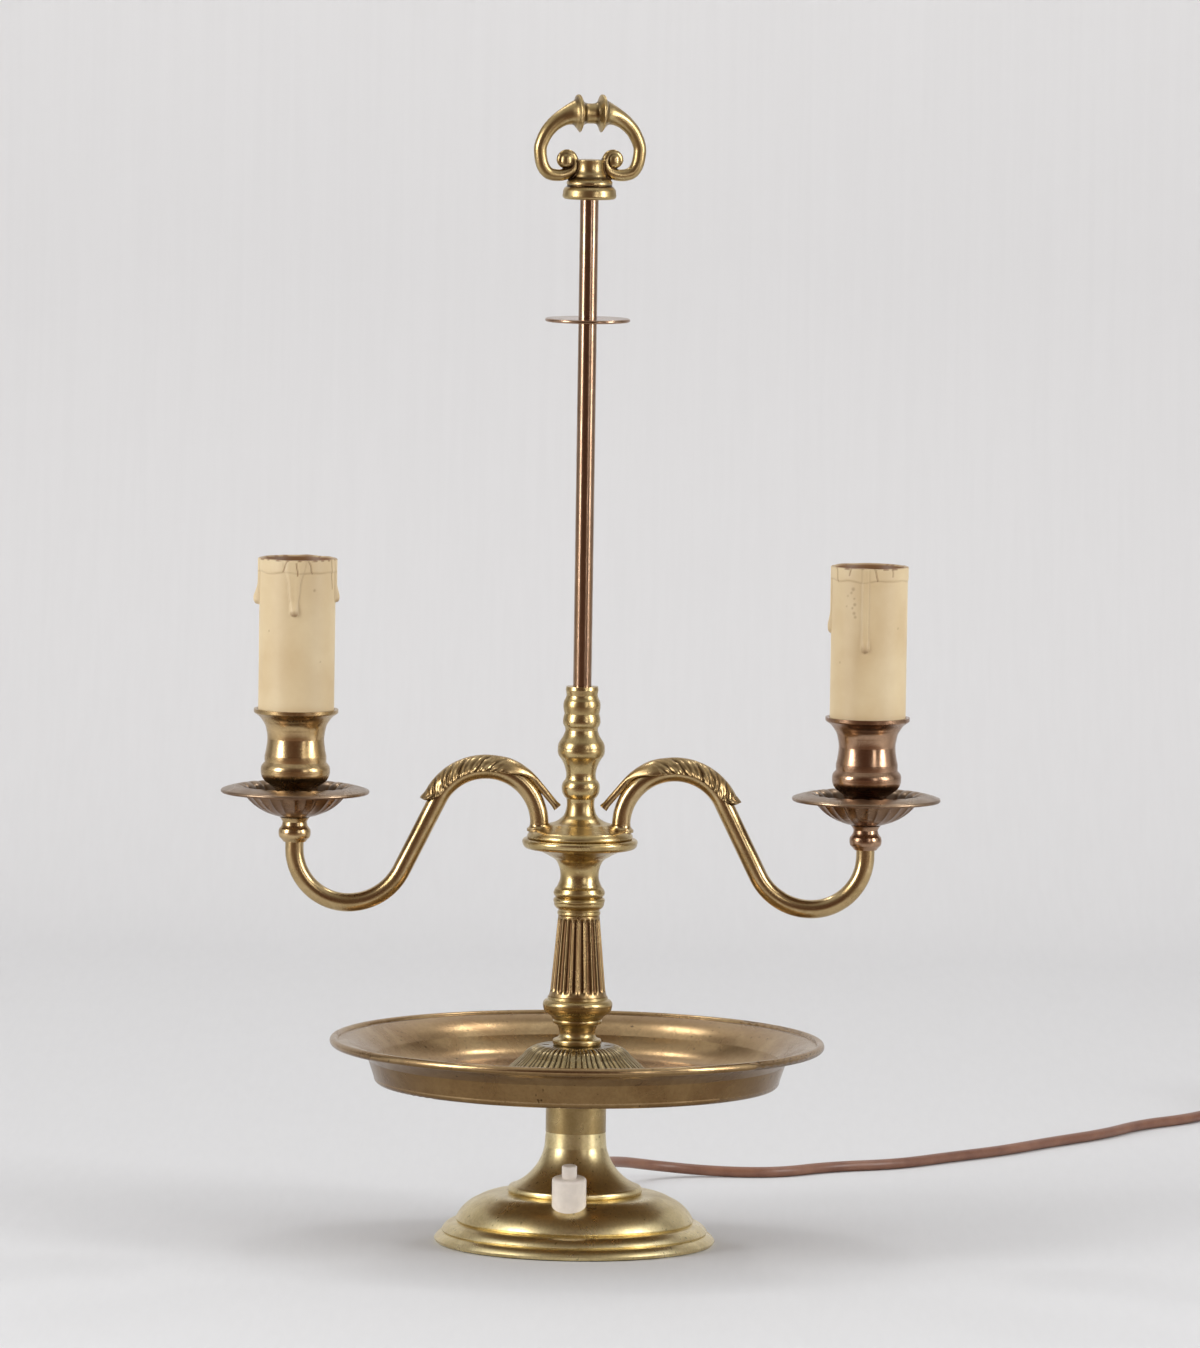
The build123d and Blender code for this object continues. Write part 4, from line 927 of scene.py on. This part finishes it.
def handle():
    """Cast ring handle: two limbs with bells and volutes on a turned foot, fused by a voxel remesh."""
    parts = [closed_turn(FOOT_OUTLINE)]
    limb, limb_faces = bar(limb_stations())
    ball, ball_faces = closed_turn(VOLUTE_BALL)
    ball = [(x + VOLUTE[0], y * BALL_FLATTER, z + VOLUTE[1]) for x, y, z in ball]
    for side in SIDES.values():
        parts.append(([(side * v.x, v.y, v.z) for v in limb], limb_faces))
        parts.append(([(side * x, y, z) for x, y, z in ball], ball_faces))
    vertices, faces = [], []
    for points, polygons in parts:
        start = len(vertices)
        vertices += [Vector(p) for p in points]
        faces += [[start + k for k in polygon] for polygon in polygons]
    foot = node_box("handle")[0].z
    turn = Matrix.Rotation(HANDLE_TURN, 3, "Z")
    vertices = [turn @ v + Vector((0, 0, foot)) for v in vertices]
    rough = new_piece("handle_parts", vertices, faces, "handle")
    remesh = rough.modifiers.new("fuse", "REMESH")
    remesh.mode = "VOXEL"
    remesh.voxel_size = HANDLE_VOXEL
    soften = rough.modifiers.new("soften", "SMOOTH")
    soften.factor, soften.iterations = HANDLE_SOFTER
    mesh = bpy.data.meshes.new_from_object(rough.evaluated_get(bpy.context.evaluated_depsgraph_get()))
    bpy.data.objects.remove(rough)
    for polygon in mesh.polygons:
        polygon.use_smooth = True
    mesh.attributes.new("cavity", "FLOAT", "POINT").data.foreach_set("value", hollows(mesh))
    piece = bpy.data.objects.new("ring_handle", mesh)
    BASE_COLLECTION.objects.link(piece)
    stands_for(piece, "handle", "handle")


def switch_spring():
    """Copy of the spring under the button, with a mesh of its own, in place of the CAD node."""
    piece = bpy.data.objects.new("button_spring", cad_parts["switch_spring"].data.copy())
    BASE_COLLECTION.objects.link(piece)
    stands_for(piece, "switch_spring")
    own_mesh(piece)


def add_ornaments():
    switch_spring()
    reeded_dome()
    column_shaft()
    for side in SIDES:
        drip_pan(side)
        candle_sleeve(side)
        arm_leaf(side)
    handle()


# ---------------------------------------------------------------- stage and light
TABLE_NEAR, TABLE_FAR = -7.0, 1.1       # Y of the paper's front edge and of the foot of its bend
LEVEL_END = 0.345                       # Y up to which the smooth shading keeps the table level
BEND_RADIUS, BEND_STEPS = 0.35, 16
WALL_TOP, WALL_HALF = 3.6, 7.0
PAPER_TONES = [(0.0, (0.705, 0.71, 0.72)), (0.1, (0.72, 0.725, 0.735)), (0.5, (0.765, 0.775, 0.785))]
TABLE_EDGE, EDGE_FADE = -0.36, 0.25     # where mirrored paper ends, and how softly
ROOM_FLOOR = (0.2, 0.115, 0.075)
SIDE_FADE, SIDE_TONE = (0.5, 1.3), 0.4  # where the paper gets darker to the sides, and its share there


def blend_shaders(nodes, links, factor, first, second, output):
    mix = nodes.new("ShaderNodeMixShader")
    for socket, target in ((factor, mix.inputs["Fac"]), (first, mix.inputs[1]), (second, mix.inputs[2])):
        links.new(socket, target)
    links.new(mix.outputs["Shader"], nodes[output].inputs["Surface"])


def studio_paper():
    """Paper that is paler up the wall and clear from its back, so that a camera behind it sees the lamp."""
    material, nodes, links, shader = new_material("studio_paper")
    place = separated(nodes, links, "Object")
    camera_sees = nodes.new("ShaderNodeLightPath").outputs["Is Camera Ray"]
    streaks = object_noise(nodes, links, 26, 3, 0.6, stretch=(9, 1, 0.25))
    grain = ramp(nodes, links, streaks, [(0.35, grey(0.985)), (0.65, WHITE)])
    paper = multiplied(nodes, links, ramp(nodes, links, place["Z"], PAPER_TONES), grain)
    # What the metal mirrors beyond the table's edge is the dim brown room, not more table.
    beyond = ranged(nodes, links, place["Y"], 1, 0, TABLE_EDGE - EDGE_FADE, TABLE_EDGE)
    paper = mixed(nodes, links, mixed(nodes, links, camera_sees, beyond, BLACK), paper, ROOM_FLOOR)
    # The floor right under the lights would look burnt out from the side, so the camera sees it darker.
    across = nodes.new("ShaderNodeMath")
    across.operation = "ABSOLUTE"
    links.new(place["X"], across.inputs[0])
    aside = ranged(nodes, links, across.outputs["Value"], 0, 1, *SIDE_FADE)
    shade = ramp(nodes, links, aside, [(0.0, WHITE), (1.0, grey(SIDE_TONE))])
    shade = mixed(nodes, links, camera_sees, WHITE, shade)
    links.new(multiplied(nodes, links, paper, shade), shader.inputs["Base Color"])
    shader.inputs["Roughness"].default_value = 0.75
    shader.inputs["Specular IOR Level"].default_value = 0.25
    clear = nodes.new("ShaderNodeBsdfTransparent").outputs["BSDF"]
    behind = nodes.new("ShaderNodeNewGeometry").outputs["Backfacing"]
    blend_shaders(nodes, links, behind, shader.outputs["BSDF"], clear, "Material Output")
    return material


def add_stage():
    """Pale table that turns up into a pale wall."""
    profile = [(TABLE_NEAR, 0.0), (LEVEL_END, 0.0)]
    for i in range(BEND_STEPS + 1):
        turn = math.pi / 2 * i / BEND_STEPS
        profile.append((TABLE_FAR + BEND_RADIUS * math.sin(turn), BEND_RADIUS * (1 - math.cos(turn))))
    profile.append((TABLE_FAR + BEND_RADIUS, WALL_TOP))
    vertices = [(x, y, z) for y, z in profile for x in (-WALL_HALF, WALL_HALF)]
    faces = [(2 * i, 2 * i + 1, 2 * i + 3, 2 * i + 2) for i in range(len(profile) - 1)]
    mesh = bpy.data.meshes.new("studio")
    mesh.from_pydata(vertices, [], faces)
    for polygon in mesh.polygons:
        polygon.use_smooth = True
    mesh.materials.append(studio_paper())
    studio = bpy.data.objects.new("studio", mesh)
    BASE_COLLECTION.objects.link(studio)


# What the metal mirrors of the room, from its front (-Y) at 0 to its back at 1.
ROOM_TONES = [(0.0, (0.12, 0.065, 0.045)), (0.1, (0.14, 0.08, 0.055)), (0.24, (0.36, 0.34, 0.32)),
              (0.5, (0.74, 0.745, 0.75)), (1.0, (0.95, 0.96, 0.98))]
SEEN_ROOM = (0.72, 0.725, 0.73, 1)


def add_world():
    """Pale room, with a dim brown patch in front, where the camera stands."""
    world = bpy.data.worlds.new("room")
    bpy.context.scene.world = world
    world.use_nodes = True
    nodes, links = world.node_tree.nodes, world.node_tree.links
    towards_back = ranged(nodes, links, separated(nodes, links, "Generated")["Y"], 0, 1, -1.0, 1.0)
    room, pale = nodes["Background"], nodes.new("ShaderNodeBackground")
    links.new(ramp(nodes, links, towards_back, ROOM_TONES), room.inputs["Color"])
    pale.inputs["Color"].default_value = SEEN_ROOM
    camera_sees = nodes.new("ShaderNodeLightPath").outputs["Is Camera Ray"]
    unseen, seen = room.outputs["Background"], pale.outputs["Background"]
    blend_shaders(nodes, links, camera_sees, unseen, seen, "World Output")


LIGHT_AIM = Vector((0, 0, 0.2))
# Name, degrees round from the front (-Y) towards +X, degrees up, distance, size, watts.
SOFTBOXES = [("key_left", -62, 18.1, 1.9, (0.62, 1.2), 23), ("key_right", 66, 18.1, 1.9, (0.5, 1.2), 18.5),
             ("window", 32, 15, 1.9, (0.28, 1.0), 2.8), ("top_left", -140, 57, 2.0, (0.24, 0.2), 3),
             ("top_right", 140, 57, 2.0, (0.24, 0.2), 3)]
WASH_PLACE, WASH_TILT, WASH_SIZE, WASH_POWER = (0, 0.45, 1.75), math.radians(75), (4.0, 0.8), 9


def area_light(name, place, turn, size, power):
    data = bpy.data.lights.new(name, "AREA")
    data.shape = "RECTANGLE"
    data.size, data.size_y = size
    data.energy = power
    light = bpy.data.objects.new(name, data)
    light.location, light.rotation_euler = place, turn
    BASE_COLLECTION.objects.link(light)


def add_lights():
    for name, azimuth, elevation, distance, size, power in SOFTBOXES:
        around_z, up = math.radians(azimuth), math.radians(elevation)
        way = Vector((math.sin(around_z) * math.cos(up), -math.cos(around_z) * math.cos(up), math.sin(up)))
        turn = way.to_track_quat("Z", "Y").to_euler()
        area_light(name, LIGHT_AIM + way * distance, turn, size, power)
    area_light("wall_wash", WASH_PLACE, (WASH_TILT, 0, 0), WASH_SIZE, WASH_POWER)


add_camera()
add_cord()
dress_nodes()
add_ornaments()
add_stage()
add_world()
add_lights()
bpy.context.scene.view_settings.view_transform = "Standard"
